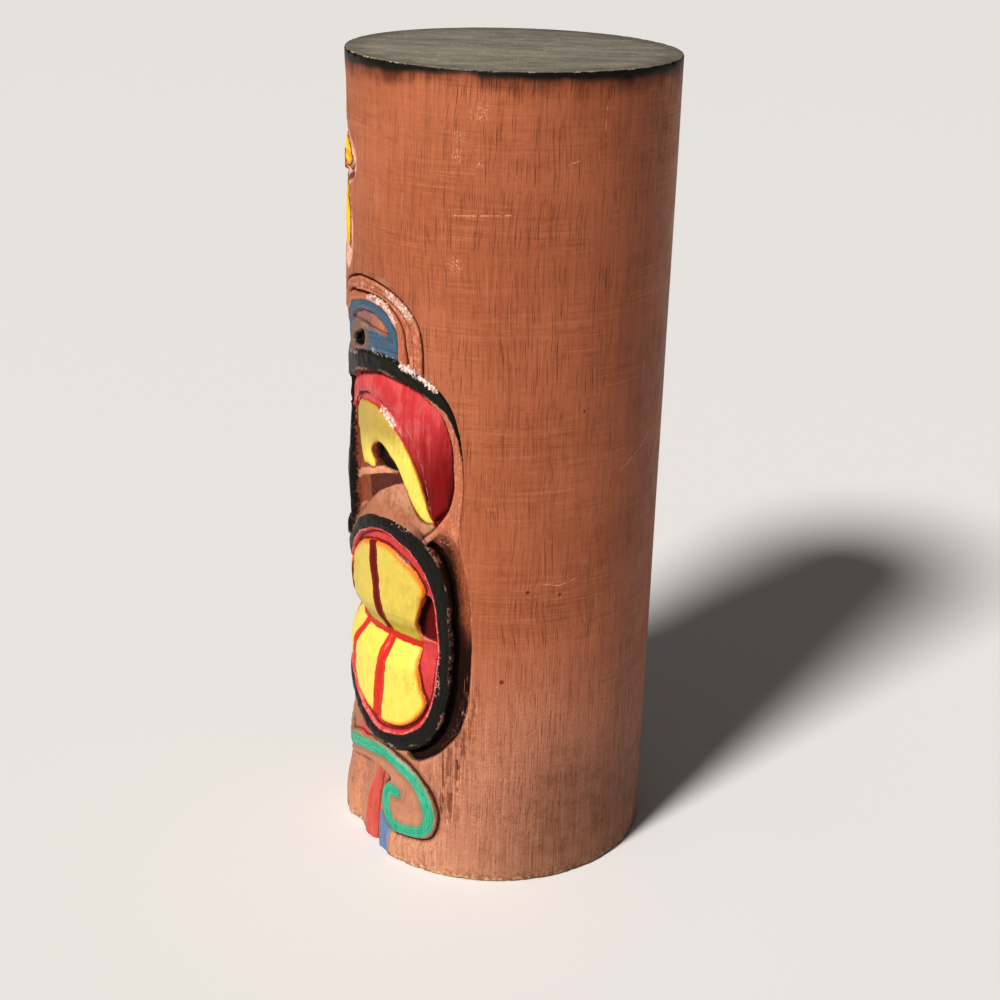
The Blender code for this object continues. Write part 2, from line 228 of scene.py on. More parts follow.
# The arches over the eyes
# Two ribs bend over each eye like a raised eyelid, with a V-groove outside each. Inside them the field
# is sunk, and holds a long lens-shaped cut and a small deep hollow.
ARCH_GROOVE_WIDTH = 0.0024
ARCH_GROOVE_DEPTH = 0.0020
ARCH_SINK = 0.0014
RIB_LINE_OFFSET = 0.0066
RIB_LINE_WIDTH = 0.0014
RIB_LINE_DEPTH = 0.0009
RIB_ROUNDING = 0.0006
BLUE_SINK = 0.0010
ARCH_LENS_DEPTH = 0.0020
ARCH_HOLLOW_DEPTH = 0.0070
OUTER_ARCH = (
    (0, 35.2), (6, 36.1), (12, 36.9), (20, 37.4), (27.2, 37.6), (38, 37.5), (47.7, 36.9), (54.1, 35.9),
    (56.6, 34.6), (57, 33.4), (56.6, 32.4), (53, 31.9),
)
INNER_ARCH = (
    (0, 34.3), (5, 35.2), (9.5, 35.9), (16, 36.4), (24.7, 36.6), (35.2, 36.65), (42.9, 36.2), (48.1, 35.3),
    (50, 34), (50.3, 33), (49.6, 32.3), (46, 31.9),
)
ARCH_FOOT = ((30, 31.8), (0, 31.5))
BLUE_FIELD = (
    (0, 33.8), (5.4, 34.9), (11, 35.4), (18.7, 35.9), (26.3, 36.2), (35.2, 36.15), (41.9, 35.6), (45.3, 34.9),
    (46.1, 33.5), (45.9, 32.6), (36, 32.4), (26, 32.2), (12, 31.8), (0, 31.6),
)
ARCH_LENS = (
    (9, 34.4), (15, 35), (22, 35.5), (30, 35.55), (36.4, 35.2), (40.3, 34.6), (31.4, 34.55), (22, 34.7),
)
ARCH_HOLLOW = ((11, 33), (14, 33.6), (19, 33.95), (23.4, 34.2), (24, 33.5), (17, 33))
HOLLOW_SURROUND = ((6, 32.4), (8, 33.7), (14, 34.5), (22, 34.8), (27.5, 34.8), (27.8, 33.4), (20, 32.6))

arch_field = outlined(OUTER_ARCH + ARCH_FOOT)
arch_lens = outlined(ARCH_LENS)
arch_hollow = outlined(ARCH_HOLLOW)
inner_field = outlined(INNER_ARCH + ARCH_FOOT)
blue_field = outlined(BLUE_FIELD)


def cut_arches(depth, across, up):
    field = arch_field(across, up)
    inner = inner_field(across, up)
    blue = blue_field(across, up)
    depth = depth + ARCH_SINK * smooth(-field / (2 * ARCH_GROOVE_WIDTH))
    rib = np.minimum(np.abs(field), np.abs(inner))
    rounding = RIB_ROUNDING * smooth(rib / ARCH_GROOVE_WIDTH) * smooth(-field / WALL)
    depth = depth - rounding * smooth(blue / WALL)
    for gap in (field, inner):
        depth = depth + ARCH_GROOVE_DEPTH * (1 - smooth(2 * np.abs(gap) / ARCH_GROOVE_WIDTH))
    rib_line = np.abs(field + RIB_LINE_OFFSET)
    depth = depth + RIB_LINE_DEPTH * (1 - smooth(2 * rib_line / RIB_LINE_WIDTH)) * smooth(inner / WALL)
    depth = laid(depth, depth + BLUE_SINK, blue)
    depth = laid(depth, ARCH_SINK + BLUE_SINK + ARCH_LENS_DEPTH, arch_lens(across, up))
    return laid(depth, ARCH_HOLLOW_DEPTH, arch_hollow(across, up))


cuts.append((cut_arches, 30, 38.4))
marks.update(
    arch_field=arch_field, inner_field=inner_field, arch_blue=blue_field, arch_lens=arch_lens,
    arch_hollow=arch_hollow, hollow_surround=outlined(HOLLOW_SURROUND),
)

# The eye sockets
# Each eye is sunk behind a wall. A hood of two facets hangs under the brow with an incised line along
# it; then come a heavy lid like a bent horn, a deep hollow, a ledge with two facets under it, and the
# cheek, which swells up again to the mouth.
SOCKET = (
    (6.5, 30.6), (9.2, 30.8), (20, 31.6), (32.7, 32.2), (45, 32.1), (55.4, 31.7), (64, 30.5), (67.8, 28.8),
    (68.6, 26.8), (67.6, 25), (63.5, 23.8), (56, 22.6), (46, 22.4), (34, 22.2), (22, 21.4), (12, 20.3),
    (9.5, 21.5), (9.8, 23), (9, 25), (7.4, 27), (6.2, 29),
)
HOOD_EDGE = (
    (6.2, 29), (6.5, 30.6), (20, 31.6), (32.7, 32.2), (45, 32.1), (55.4, 31.7), (64, 30.5), (67.8, 28.8),
    (68.6, 26.8), (67.6, 25), (62, 23.9),
)
HOOD_LINE = ((9, 28.9), (15, 29.9), (26, 30.4), (41, 30), (48.5, 29), (53.2, 27.8), (57.5, 25.6), (59.6, 24))
HOOD_CLOSING = ((75, 24), (75, 36), (0, 36), (0, 28.9))
HOOD_TROUGH = 0.0066
HOOD_CREST = 0.0030
HOOD_LINE_DEPTH = 0.0048
HOOD_LINE_CUT = 0.0009
HOOD_LINE_WIDTH = 0.0016
LID = (
    (9.6, 28.7), (13, 29.3), (17, 29.6), (24, 29.85), (31, 29.75), (38.1, 29.3), (45, 28.4),
    (50.5, 27.2), (55, 25.6), (58.5, 24.3), (60.2, 23.7), (56.5, 23.6), (52.5, 24), (49, 24.9),
    (46, 25.7), (42.9, 26.5), (38, 27.2), (33, 27.55), (28.6, 27.4), (26.4, 26.9), (29.2, 26.3),
    (28.4, 25.85), (22, 25.75), (17.2, 25.7), (15, 26.6), (12, 27.5),
)
HOOD_FIELD = (
    (5, 29), (5, 30.6), (9.2, 31.4), (20, 32.4), (32.7, 33), (45, 33), (55.4, 32.4), (64, 31.4), (69, 29.2),
    (70, 26.8), (68.6, 24.4), (61.5, 23.5), (59.5, 23.9), (57, 24.7), (53.5, 26.1), (49, 27.5), (43.5, 28.5),
    (38, 29.2), (31, 29.6), (24, 29.7), (16, 29.3), (10.5, 28.6), (7.5, 28.4),
)
EYE_RIM = (
    (56, 31), (64, 31.2), (69.3, 30.2), (71.4, 29.1), (72.5, 27.8), (72.7, 26.3), (72.2, 24.7), (71.6, 23.3),
    (66, 22.4), (58, 22.6),
)
EYE_RIM_DEPTH = 0.0022
EYE_RIM_WIDTH = 0.0065
LID_DEPTH = 0.0052
LID_EDGE_DEPTH = 0.0066
LID_ROUNDING = 0.004
LEDGE = ((9, 24.3), (17, 25), (25, 25.5), (42, 26.4))
LEDGE_DEPTH = 0.0062
LEDGE_WIDTH = 0.0028
VALLEY = ((8, 21.6), (21, 23.2), (31.7, 24.5), (46.3, 25.6), (56, 25), (63, 24.1))
VALLEY_CLOSING = ((64, 15), (8, 15))
VALLEY_DEPTH = 0.0085
CHEEK_CREST = 0.0018
FACET_RIDGE = ((26.5, 25.4), (24, 23.6))
FACET_RIDGE_WIDTH = 0.006
FACET_RIDGE_RISE = 0.0014
EYE_HOLLOW = ((29.6, 26.4), (28.8, 27), (31, 27.5), (35, 27.5), (39.6, 26.9), (43, 26.3), (36, 26.1))
EYE_HOLLOW_DEPTH = 0.0125

socket_gap = outlined(SOCKET)
rim_gap = outlined(EYE_RIM)
hood_gap = outlined(HOOD_LINE + HOOD_CLOSING)
hood_line = lined(HOOD_LINE)
lid_gap = outlined(LID)
eye_hollow = outlined(EYE_HOLLOW)
ledge_line = lined(LEDGE)
cheek_gap = outlined(VALLEY + VALLEY_CLOSING)


def cut_socket(depth, across, up):
    edge = distance(rolled_out(HOOD_EDGE), across, up)
    line = hood_line(across, up)
    valley = distance(rolled_out(VALLEY), across, up)
    ledge = ledge_line(across, up)
    mouth = np.maximum(mouth_gap(across, up), 0)

    share = edge / np.maximum(edge + line, 1e-6)
    hood = HOOD_TROUGH + (HOOD_LINE_DEPTH - HOOD_TROUGH) * share
    hood = hood - (HOOD_LINE_DEPTH - HOOD_CREST) * np.sin(math.pi * share)
    facet = VALLEY_DEPTH + (LEDGE_DEPTH - VALLEY_DEPTH) * valley / np.maximum(valley + ledge, 1e-6)
    ridge = distance(rolled_out(FACET_RIDGE), across, up)
    facet = facet - FACET_RIDGE_RISE * np.clip(1 - ridge / FACET_RIDGE_WIDTH, 0, 1)
    cheek = VALLEY_DEPTH + (CHEEK_CREST - VALLEY_DEPTH) * valley / np.maximum(valley + mouth, 1e-6)

    inside = laid(facet, cheek, cheek_gap(across, up))
    inside = laid(inside, hood, hood_gap(across, up))
    lid = lid_gap(across, up)
    lid_top = LID_EDGE_DEPTH + (LID_DEPTH - LID_EDGE_DEPTH) * np.sqrt(smooth(-lid / LID_ROUNDING))
    inside = laid(inside, lid_top, lid)
    inside = laid(inside, EYE_HOLLOW_DEPTH, eye_hollow(across, up))
    inside = inside + HOOD_LINE_CUT * (1 - smooth(2 * line / HOOD_LINE_WIDTH)) * smooth(lid / WALL)
    rim = EYE_RIM_DEPTH * smooth(-rim_gap(across, up) / EYE_RIM_WIDTH)
    return laid(np.maximum(depth, rim), inside, socket_gap(across, up))


cuts.append((cut_socket, 19, 33))
marks.update(
    socket=socket_gap, eye_rim=rim_gap, hood=outlined(HOOD_FIELD), hood_line=hood_line, lid=lid_gap,
    eye_hollow=eye_hollow, ledge=ledge_line, cheek=cheek_gap,
)

# The nose
# What is left standing between the sockets is the nose, a narrow ridge that dips under the brow and
# comes forward to its tip, with two nostrils drilled shallowly beside it.
NOSE_HEIGHTS = (20.7, 22.5, 24.3, 26.5, 28, 29.9, 31.5)
NOSE_DEPTHS = (0.0026, 0.0016, 0.0004, 0.0018, 0.0028, 0.0034, 0.0012)
NOSE_HALF_TURN = 12
NOSTRIL = (4.6, 21.7)
NOSTRIL_RADIUS = 0.0034
NOSTRIL_DEPTH = 0.0035
NOSE_TOP = 31.4
NOSE_FOOT = 20.3


def nostril_gap(across, up):
    turn, height = NOSTRIL
    return np.hypot(across - turn * DEGREE, up - height * FIFTIETH) - NOSTRIL_RADIUS


def nose_side(across, up):
    """The distance to the nose's side, negative towards the middle, between its top and its foot."""
    ends = np.maximum(up - NOSE_TOP * FIFTIETH, NOSE_FOOT * FIFTIETH - up)
    return np.maximum(np.maximum(-socket_gap(across, up), across - NOSE_HALF_TURN * DEGREE), ends)


def cut_nose(depth, across, up):
    heights = np.multiply(NOSE_HEIGHTS, FIFTIETH)
    ridge = np.interp(up, heights, NOSE_DEPTHS)
    share = smooth(socket_gap(across, up) / WALL + 0.5)
    share = share * smooth(1.5 - across / (NOSE_HALF_TURN * DEGREE))
    share = share * smooth((up - heights[0]) / WALL + 1) * smooth((heights[-1] - up) / WALL + 1)
    depth = np.maximum(depth, ridge * share)
    return depth + NOSTRIL_DEPTH * smooth(-nostril_gap(across, up) / NOSTRIL_RADIUS * 2)


cuts.append((cut_nose, 19, 32.4))
marks.update(nostril=nostril_gap, nose=nose_side)

# The brow
# One thick brow runs from ear to ear, in two bows that meet over the nose. Its upper edge is bevelled.
BROW_DEPTH = 0.0012
BROW_TOP = (
    (0, 32), (9, 32.4), (19, 32.9), (28.3, 33.25), (39.6, 33.35), (48.4, 33.15), (55.7, 32.8), (62, 32.25),
    (66.5, 31.4), (69.6, 30.3), (71.6, 29.05), (72.9, 27.4),
)
BROW_BOTTOM = (
    (72.3, 27.9), (70.5, 29.3), (65.8, 30.7), (57.8, 31.6), (47.1, 32.1), (33.8, 32.2), (20, 31.6),
    (9.2, 30.7), (0, 30.5),
)
BROW_BEVEL = 0.0022
BROW_BEVEL_DEPTH = 0.0009

brow_gap = outlined(mirrored(BROW_TOP + BROW_BOTTOM))
brow_edge = lined(BROW_TOP)


def cut_brow(depth, across, up):
    bevel = BROW_BEVEL_DEPTH * (1 - smooth(brow_edge(across, up) / BROW_BEVEL))
    return laid(depth, BROW_DEPTH + bevel, brow_gap(across, up))


cuts.append((cut_brow, 28, 34.2))
marks.update(brow=brow_gap)

# The channel beside the mouth
# A deep groove, cut with a wide gouge along the outer side of the mouth. It is steep against the lip,
# and climbs outwards to a rim where the gouge has torn the grain.
CHANNEL = (
    (58, 22), (63, 23.4), (68.4, 23.4), (72.4, 22.2), (75.4, 20), (77.3, 16.5), (76.9, 13.4), (74.4, 10.8),
    (69, 9.3), (63, 8.3), (54, 7.7), (50, 9), (60, 12), (62, 16), (60, 20),
)
CHANNEL_DEPTH = 0.0105
TORN_GRAIN = ((66, 4.5), (66.5, 8.5), (72, 11), (75, 14), (79, 13), (77, 9), (73, 6), (70, 3.6))
TORN_DEPTH = 0.0009
TORN_FADE = 0.006
TORN_FIBRE = (0.0016, 0.011)
FINE_FIBRE = (0.0009, 0.004)

channel_gap = outlined(CHANNEL)
torn_gap = outlined(TORN_GRAIN)


def cut_channel(depth, across, up):
    lip = np.maximum(mouth_gap(across, up), 0)
    bank = -np.minimum(channel_gap(across, up), 0)
    fall = CHANNEL_DEPTH * (bank / np.maximum(bank + lip, 1e-6)) ** 0.7
    depth = np.maximum(depth, fall * smooth(bank / WALL))
    torn = mottle(across, up, *TORN_FIBRE, 21) + 0.5 * mottle(across, up, *FINE_FIBRE, 22)
    torn = np.clip(torn, 0, 1)
    return depth + TORN_DEPTH * torn * smooth(0.5 - torn_gap(across, up) / TORN_FADE)


cuts.append((cut_channel, 2.8, 24.2))
marks.update(channel=channel_gap, torn=torn_gap)

# The chin, the scrolls and the foot
# Under the mouth the wood is sunk to a chin. A scroll runs out from the chin to each side and curls
# round, standing above the fluted foot.
SCROLL = (
    (0, 6.1), (5, 6.15), (9.2, 6.4), (17.2, 7.1), (28, 7.55), (40, 7.75), (50.3, 7.15), (57, 6.4),
    (61.6, 5.4), (64.2, 3.9), (63, 2.8), (59.5, 2.2), (49.3, 1.9), (42, 2.05), (38.7, 2.8), (37.9, 3.9),
    (39.2, 4.9), (42.4, 5.55), (38, 5.9), (32.5, 6), (24, 5.8), (17.5, 5.4), (9, 4.7), (0, 4.3),
)
SCROLL_DEPTH = 0.0010
SCROLL_EDGE_DEPTH = 0.0038
SCROLL_EDGE_WIDTH = 0.008
SCROLL_DISH = 0.0012
SCROLL_STROKE = (
    (0, 5.6), (9.2, 5.85), (17.2, 6.5), (28, 7.05), (40, 7.25), (50.3, 6.7), (57.5, 5.7), (60.9, 4.2),
    (59.6, 3), (54, 2.45), (48, 2.35), (42.6, 2.7), (40.5, 3.6), (40.8, 4.4), (43, 4.95), (46, 4.9),
)
CHIN_DEPTH = 0.0040
CHIN = ((0, 10.5), (12, 10), (24, 8.9), (34, 8.3), (44, 8), (40, 7.2), (20, 6.4), (0, 5.6))
FOOT = ((0, -1), (40, -1), (37.8, 2), (37.5, 4.2), (40, 5.6), (32, 5.9), (17, 5.3), (0, 4.2))
FLUTE_ANGLES = (0, 9, 12.5, 15.5, 19, 26, 29.5, 31.5, 35.5, 38, 44)
FLUTE_DEPTHS = (-0.0002, 0, 0.0022, 0.0054, 0.0048, 0.0026, 0.0042, 0.0070, 0.0026, 0.0012, 0.001)
FOOT_SWELL = 0.0018
RED_STRIPE = (
    (37, 5.8), (31, 5.4), (27.8, 4.6), (26, 3.2), (25.3, 2), (24.3, -0.4), (32.3, -0.4), (33.4, 1.4),
    (34.8, 2.9), (36.6, 4.4),
)
BLUE_STRIPE = ((33.8, -0.4), (34.4, 1.2), (35.6, 2.4), (38, 3), (40, 2.3), (42.4, 1.9), (42, -0.4))
CHIN_PATCH = ((19, 7.2), (18, 8), (23, 8.3), (28, 8.1), (27, 7.5), (24, 7.2))

scroll_gap = outlined(mirrored(SCROLL))
scroll_stroke = lined(SCROLL_STROKE)


def cut_chin_and_foot(depth, across, up):
    depth = laid(depth, CHIN_DEPTH, reach(mirrored(CHIN), across, up), 2 * WALL)
    flutes = np.interp(across, np.multiply(FLUTE_ANGLES, DEGREE), FLUTE_DEPTHS)
    flutes = flutes + CHIN_DEPTH * smooth((up - 2 * FIFTIETH) / (3 * FIFTIETH))
    depth = laid(depth, flutes, reach(FOOT, across, up), 2 * WALL)
    gap = scroll_gap(across, up)
    fall = SCROLL_EDGE_DEPTH * (1 - smooth(gap / SCROLL_EDGE_WIDTH))
    depth = np.maximum(depth, fall * smooth(across / (30 * DEGREE)))
    dish = SCROLL_DISH * smooth(scroll_stroke(across, up) / (3 * WALL) - 0.6)
    depth = laid(depth, SCROLL_DEPTH + dish, gap)
    swell = FOOT_SWELL * smooth(1 - across / (14 * DEGREE)) * smooth(1.6 - up / (2 * FIFTIETH))
    return depth - swell


cuts.append((cut_chin_and_foot, -2, 11.2))
marks.update(
    scroll=scroll_gap, scroll_stroke=scroll_stroke, red_stripe=outlined(RED_STRIPE),
    blue_stripe=outlined(BLUE_STRIPE), chin_patch=outlined(CHIN_PATCH),
)

# The mouth
# A figure-of-eight mouth with a raised lip all round. Two rows of broad teeth fall back to the bite
# between them, parted by shallow cuts, and a pocket is cut at each corner.
MOUTH = (
    (0, 19.8), (5, 19.95), (10, 20.5), (16, 21.5), (24, 22.5), (33, 23.1), (46, 23.3), (56, 22.6),
    (61.5, 21.8), (65.2, 20.8), (67.2, 19.4), (68.4, 17.4), (68.8, 15), (68.2, 12.9), (66.3, 11.2),
    (61.4, 9.5), (52.8, 8.3), (42, 7.85), (32, 7.95), (20, 8.8), (10, 9.7), (0, 10.1),
)
LIP = (
    (0, 18.6), (6, 18.8), (10.4, 19.6), (18, 21), (27.8, 22), (38, 22.4), (46, 22.2), (54.8, 21.2),
    (60.3, 19.8), (63.1, 18.2), (64.1, 16), (63.8, 14), (62.3, 12.1), (59, 10.6), (52.6, 9.5),
    (46.4, 9.05), (38, 8.75), (31.2, 8.9), (20, 9.7), (12, 10.5), (0, 11.1),
)
TEETH = (
    (0, 17.9), (6, 18.2), (10.8, 19.2), (16, 20.1), (22.9, 20.9), (30, 21.3), (38.2, 21.45), (45, 21.2),
    (51, 20.6), (56, 19.9), (57.8, 19.2), (56.2, 18), (54.7, 16.9), (54.7, 16), (54.6, 15), (55.2, 14),
    (57.2, 12.7), (58.8, 11.8), (57.3, 11), (51.7, 10), (44, 9.45), (33, 9.5), (21, 10.1), (10, 11.3),
    (0, 12),
)
LIP_DEPTH = 0.0010
LIP_ROUNDING = 0.0008
GUM_DEPTH = 0.0046
TEETH_DEPTH = 0.0022
TEETH_SHOULDER = 0.0026
BITE_TURNS = (0, 20, 40, 62)
BITE_UPS = (14.75, 15, 15.3, 15.4)
BITE_PLACES = (-0.026, -0.018, -0.012, -0.007, -0.002, 0.002, 0.007, 0.012, 0.0165, 0.020)
BITE_FALLS = (0, 0.0005, 0.0026, 0.0060, 0.0086, 0.0088, 0.0060, 0.0024, 0.0001, 0)
UPPER_GAPS = (((8, 21), (8.2, 18), (9, 15)), ((30.3, 21.8), (32.6, 19), (34.6, 16.8), (35.8, 15.2)))
LOWER_GAPS = (((15, 15), (12, 13.3), (10.4, 12), (11.6, 10.8), (16, 9.4)),
              ((37, 15.2), (36.6, 13.5), (35, 11.5), (33.8, 9)))
TOOTH_GAP_WIDTH = 0.0056
TOOTH_GAP_DEPTH = 0.0015
CORNER = (
    (54.5, 16.1), (54.2, 16.9), (55.8, 18), (58.4, 18.9), (61.2, 18.3), (62.9, 16.8), (62.2, 15.9),
    (58, 15.9),
)
CORNER_DEPTH = 0.0105

mouth_gap = outlined(mirrored(MOUTH))
lip_gap = outlined(mirrored(LIP))
teeth_gap = outlined(mirrored(TEETH))
corner_gap = outlined(CORNER)


def above_bite(across, up):
    line = np.interp(across, np.multiply(BITE_TURNS, DEGREE), np.multiply(BITE_UPS, FIFTIETH))
    return up - line


def upper_gaps(across, up):
    return np.minimum(*(distance(rolled_out(gap), across, up) for gap in UPPER_GAPS))


def lower_gaps(across, up):
    return np.minimum(*(distance(rolled_out(gap), across, up) for gap in LOWER_GAPS))


def cut_mouth(depth, across, up):
    fall = np.interp(above_bite(across, up), np.multiply(BITE_PLACES, -1)[::-1], BITE_FALLS[::-1])
    gaps = np.minimum(upper_gaps(across, up), lower_gaps(across, up))
    teeth = TEETH_DEPTH + fall + TOOTH_GAP_DEPTH * (1 - smooth(2 * gaps / TOOTH_GAP_WIDTH))
    inside = laid(GUM_DEPTH + 0.5 * fall, teeth, teeth_gap(across, up), TEETH_SHOULDER)
    inside = laid(inside, CORNER_DEPTH, corner_gap(across, up), TEETH_SHOULDER)
    lip = lip_gap(across, up)
    outer = mouth_gap(across, up)
    band = np.minimum(lip, -outer)
    crown = LIP_DEPTH + LIP_ROUNDING * (1 - np.sqrt(smooth(band / (3 * WALL))))
    surface = laid(crown, inside, lip + WALL)
    return laid(depth, surface, outer - WALL / 2)


cuts.append((cut_mouth, 7, 24.2))
marks.update(
    mouth=mouth_gap, lip=lip_gap, teeth=teeth_gap, corner=corner_gap, bite=above_bite,
    upper_gaps=upper_gaps, lower_gaps=lower_gaps,
)

# The knife's hand
# Nothing is cut quite to its line: every outline wanders a little, the sunk ground keeps the facets of
# the gouge, and the edges and rims have lost small chips.
WANDER = 0.0006
WANDER_GRAIN = 0.011
FACET_DEPTH = 0.00035
RIM_CHIP = 0.0010
PLANING_DEPTH = 0.00010
GOUGE_FACET = (0.0045, 0.007)
FINE_FACET = (0.0019, 0.0032)
FACETED_DEPTH = 0.0015
PLANE_STROKE = (0.012, 0.055)
FINE_STROKE = (0.0042, 0.03)
RIM_CHIP_WIDTH = 0.0045
FINE_CHIP_WIDTH = 0.002
MARKS_FADE = 0.004


def carving(across, up):
    """How deep the cutting goes below the log's face, at each place on the rolled-out side."""
    half, up_there = wandered(across, up)
    depth = np.zeros(across.shape)
    for cut, low, high in cuts:
        near = (half < CARVED_HALF_TURN * RADIUS) & (up > low * FIFTIETH) & (up < high * FIFTIETH)
        depth[near] = cut(depth[near], half[near], up_there[near])
    return depth


def wandered(across, up):
    """The places moved by the unsteadiness of the hand, and folded onto the drawn half."""
    grain = WANDER_GRAIN
    moved = across + WANDER * mottle(across, up, grain, grain, 1)
    lifted = up + WANDER * mottle(across, up, grain, grain, 2) * smooth(up / (3 * grain))
    return np.abs(moved), lifted


def tool_marks(across, up, depth):
    """Facets in the sunk ground, and the flat strokes of the plane on the log's face."""
    facets = mottle(across, up, *GOUGE_FACET, 3) + 0.6 * mottle(across, up, *FINE_FACET, 4)
    planing = mottle(across, up, *PLANE_STROKE, 5) + 0.5 * mottle(across, up, *FINE_STROKE, 6)
    cut_share = smooth(depth / FACETED_DEPTH)
    return FACET_DEPTH * facets * cut_share + PLANING_DEPTH * planing


def carve(points):
    """Moves points of the blank's side in, along their radius, and chips the rims."""
    turn = np.arctan2(points[:, 0], -points[:, 1])
    across = turn * RADIUS
    up = np.clip(points[:, 2], 0, HEIGHT)
    depth = carving(across, up)
    marks_depth = tool_marks(across, up, depth)
    from_end = np.minimum(up, HEIGHT - up)
    marks_depth *= smooth(from_end / MARKS_FADE)
    near_rim = 1 - smooth(from_end / (2.5 * RIM_ROUNDING))
    chips = smooth(mottle(across, up, RIM_CHIP_WIDTH, 1, 11) * 3 - 1.1)
    chips = chips + 0.5 * smooth(mottle(across, up, FINE_CHIP_WIDTH, 1, 12) * 3 - 1.2)
    out = np.hypot(points[:, 0], points[:, 1])
    radius = out - depth - marks_depth - RIM_CHIP * chips * near_rim
    points[:, 0] = radius * np.sin(turn)
    points[:, 1] = -radius * np.cos(turn)
    return points


TRIANGLES = 165000
LONG_EDGE = 0.0032
PROUD_SPAN = 0.0016
BARE_EDGES = (
    ((48, 33.05), (55.7, 32.65), (61.5, 32.1)), ((41, 37), (47, 36.6), (51.5, 35.95)),
    ((30, 36.5), (38, 36.3), (44.5, 35.5)), ((33.5, 29.75), (36.5, 29.6), (40.5, 29.15)),
)
CHIPPED_EDGES = (
    ((36, 29.5), (40, 29.4), (45.5, 28.7)), ((22, 37), (36, 37.1)), ((30, 33.4), (44, 33.3)),
    ((66, 22.5), (60, 22.8)), ((43, 23.2), (51, 23)), ((30, 8), (36, 7.8)),
    ((53, 8.6), (58, 8.8)), ((63.9, 12.6), (64.1, 15.8)), ((6, 45.8), (13, 45.1), (18, 44.2)),
    ((14, 41.5), (14.6, 40.2), (12, 38.2)), ((36, 8), (46, 8.1)), ((2, 31.9), (20, 32.8)),
)


def carved_mesh():
    """The carved log as one mesh: cut in a fine net, then thinned where it is flat."""
    bm = log_blank()
    mesh = bpy.data.meshes.new("net")
    bm.to_mesh(mesh)
    bm.free()
    points = np.empty(len(mesh.vertices) * 3)
    mesh.vertices.foreach_get("co", points)
    mesh.vertices.foreach_set("co", carve(points.reshape(-1, 3)).ravel())
    net = bpy.data.objects.new("net", mesh)
    bpy.context.collection.objects.link(net)
    mesh.calc_loop_triangles()
    thin = net.modifiers.new("thin", "DECIMATE")
    thin.ratio = min(1.0, TRIANGLES / len(mesh.loop_triangles))
    made = bpy.data.meshes.new_from_object(net.evaluated_get(bpy.context.evaluated_depsgraph_get()))
    bpy.data.objects.remove(net)
    bpy.data.meshes.remove(mesh)

    bm = bmesh.new()
    bm.from_mesh(made)
    long_edges = [edge for edge in bm.edges if edge.calc_length() > LONG_EDGE
                  and abs(math.atan2(edge.verts[0].co.x, -edge.verts[0].co.y)) < CARVED_HALF_TURN
                  and all(abs(face.normal.z) < FLAT_FACE for face in edge.link_faces)]
    bmesh.ops.subdivide_edges(bm, edges=long_edges, cuts=1)
    bmesh.ops.triangulate(bm, faces=[face for face in bm.faces if len(face.verts) > 4])
    bm.to_mesh(made)
    bm.free()
    made.shade_smooth()
    return made


def mark(mesh):
    """Stores each outline's distance at every point, for the paint, with how proud each point stands."""
    points = np.empty(len(mesh.vertices) * 3)
    mesh.vertices.foreach_get("co", points)
    points = points.reshape(-1, 3)
    across = np.arctan2(points[:, 0], -points[:, 1]) * RADIUS
    up = points[:, 2]
    half, up_there = wandered(across, up)
    for name, measure in marks.items():
        store(mesh, name, measure(half, up_there))
    depth = carving(across, up)
    around = np.zeros(across.shape)
    for step_x, step_y in ((1, 0.4), (-1, -0.4), (-0.4, 1), (0.4, -1)):
        around += carving(across + step_x * PROUD_SPAN, up + step_y * PROUD_SPAN) / 4
    store(mesh, "proud", around - depth)
    for name, edges in (("bare", BARE_EDGES), ("chipped", CHIPPED_EDGES)):
        store(mesh, name, np.min([distance(rolled_out(edge), half, up_there) for edge in edges], axis=0))


def store(mesh, name, values):
    attribute = mesh.attributes.new(name, "FLOAT", "POINT")
    attribute.data.foreach_set("value", values.astype(np.float32))


log_mesh = carved_mesh()
mark(log_mesh)
log = bpy.data.objects.new("painted_log", log_mesh)
bpy.context.collection.objects.link(log)


# The paint
# Thin acrylic, brushed on over bare wood: terracotta brown all over, black on the top, and the face in
# flat colours. The wood's pores show through it, and it has chipped off the edges.
class Value:
    """One output of the paint's node tree. Sums on it add Math nodes."""

    tree = None

    def __init__(self, socket):
        self.socket = socket

    @staticmethod
    def node(kind, settings=None, inputs=None, output=0):
        made = Value.tree.nodes.new(kind)
        for name, setting in (settings or {}).items():
            setattr(made, name, setting)
        for name, value in (inputs or {}).items():
            if isinstance(value, Value):
                Value.tree.links.new(value.socket, made.inputs[name])
            else:
                made.inputs[name].default_value = value
        return Value(made.outputs[output])

    def math(self, operation, other=0.0):
        return Value.node("ShaderNodeMath", {"operation": operation}, {0: self, 1: other})

    def __add__(self, other):
        return self.math("ADD", other)

    __radd__ = __add__

    def __sub__(self, other):
        return self.math("SUBTRACT", other)

    def __rsub__(self, other):
        return Value.node("ShaderNodeMath", {"operation": "SUBTRACT"}, {0: other, 1: self})

    def __mul__(self, other):
        return self.math("MULTIPLY", other)

    __rmul__ = __mul__

    def between(self, low, high):
        """0 below low and 1 above high, eased, or the other way round where low is the higher."""
        return Value.node("ShaderNodeMapRange", {"interpolation_type": "SMOOTHSTEP"},
                          {"Value": self, "From Min": low, "From Max": high})


def blend(share, under, over, how="MIX"):
    return Value.node("ShaderNodeMix", {"data_type": "RGBA", "blend_type": how},
                      {0: share, 6: under, 7: over}, output=2)


def pigment(red, green, blue):
    """A paint's colour, from its eight-bit values."""
    return tuple(((value / 255 + 0.055) / 1.055) ** 2.4 for value in (red, green, blue)) + (1,)


def stored(name):
    return Value.node("ShaderNodeAttribute", {"attribute_name": name}, output=2)


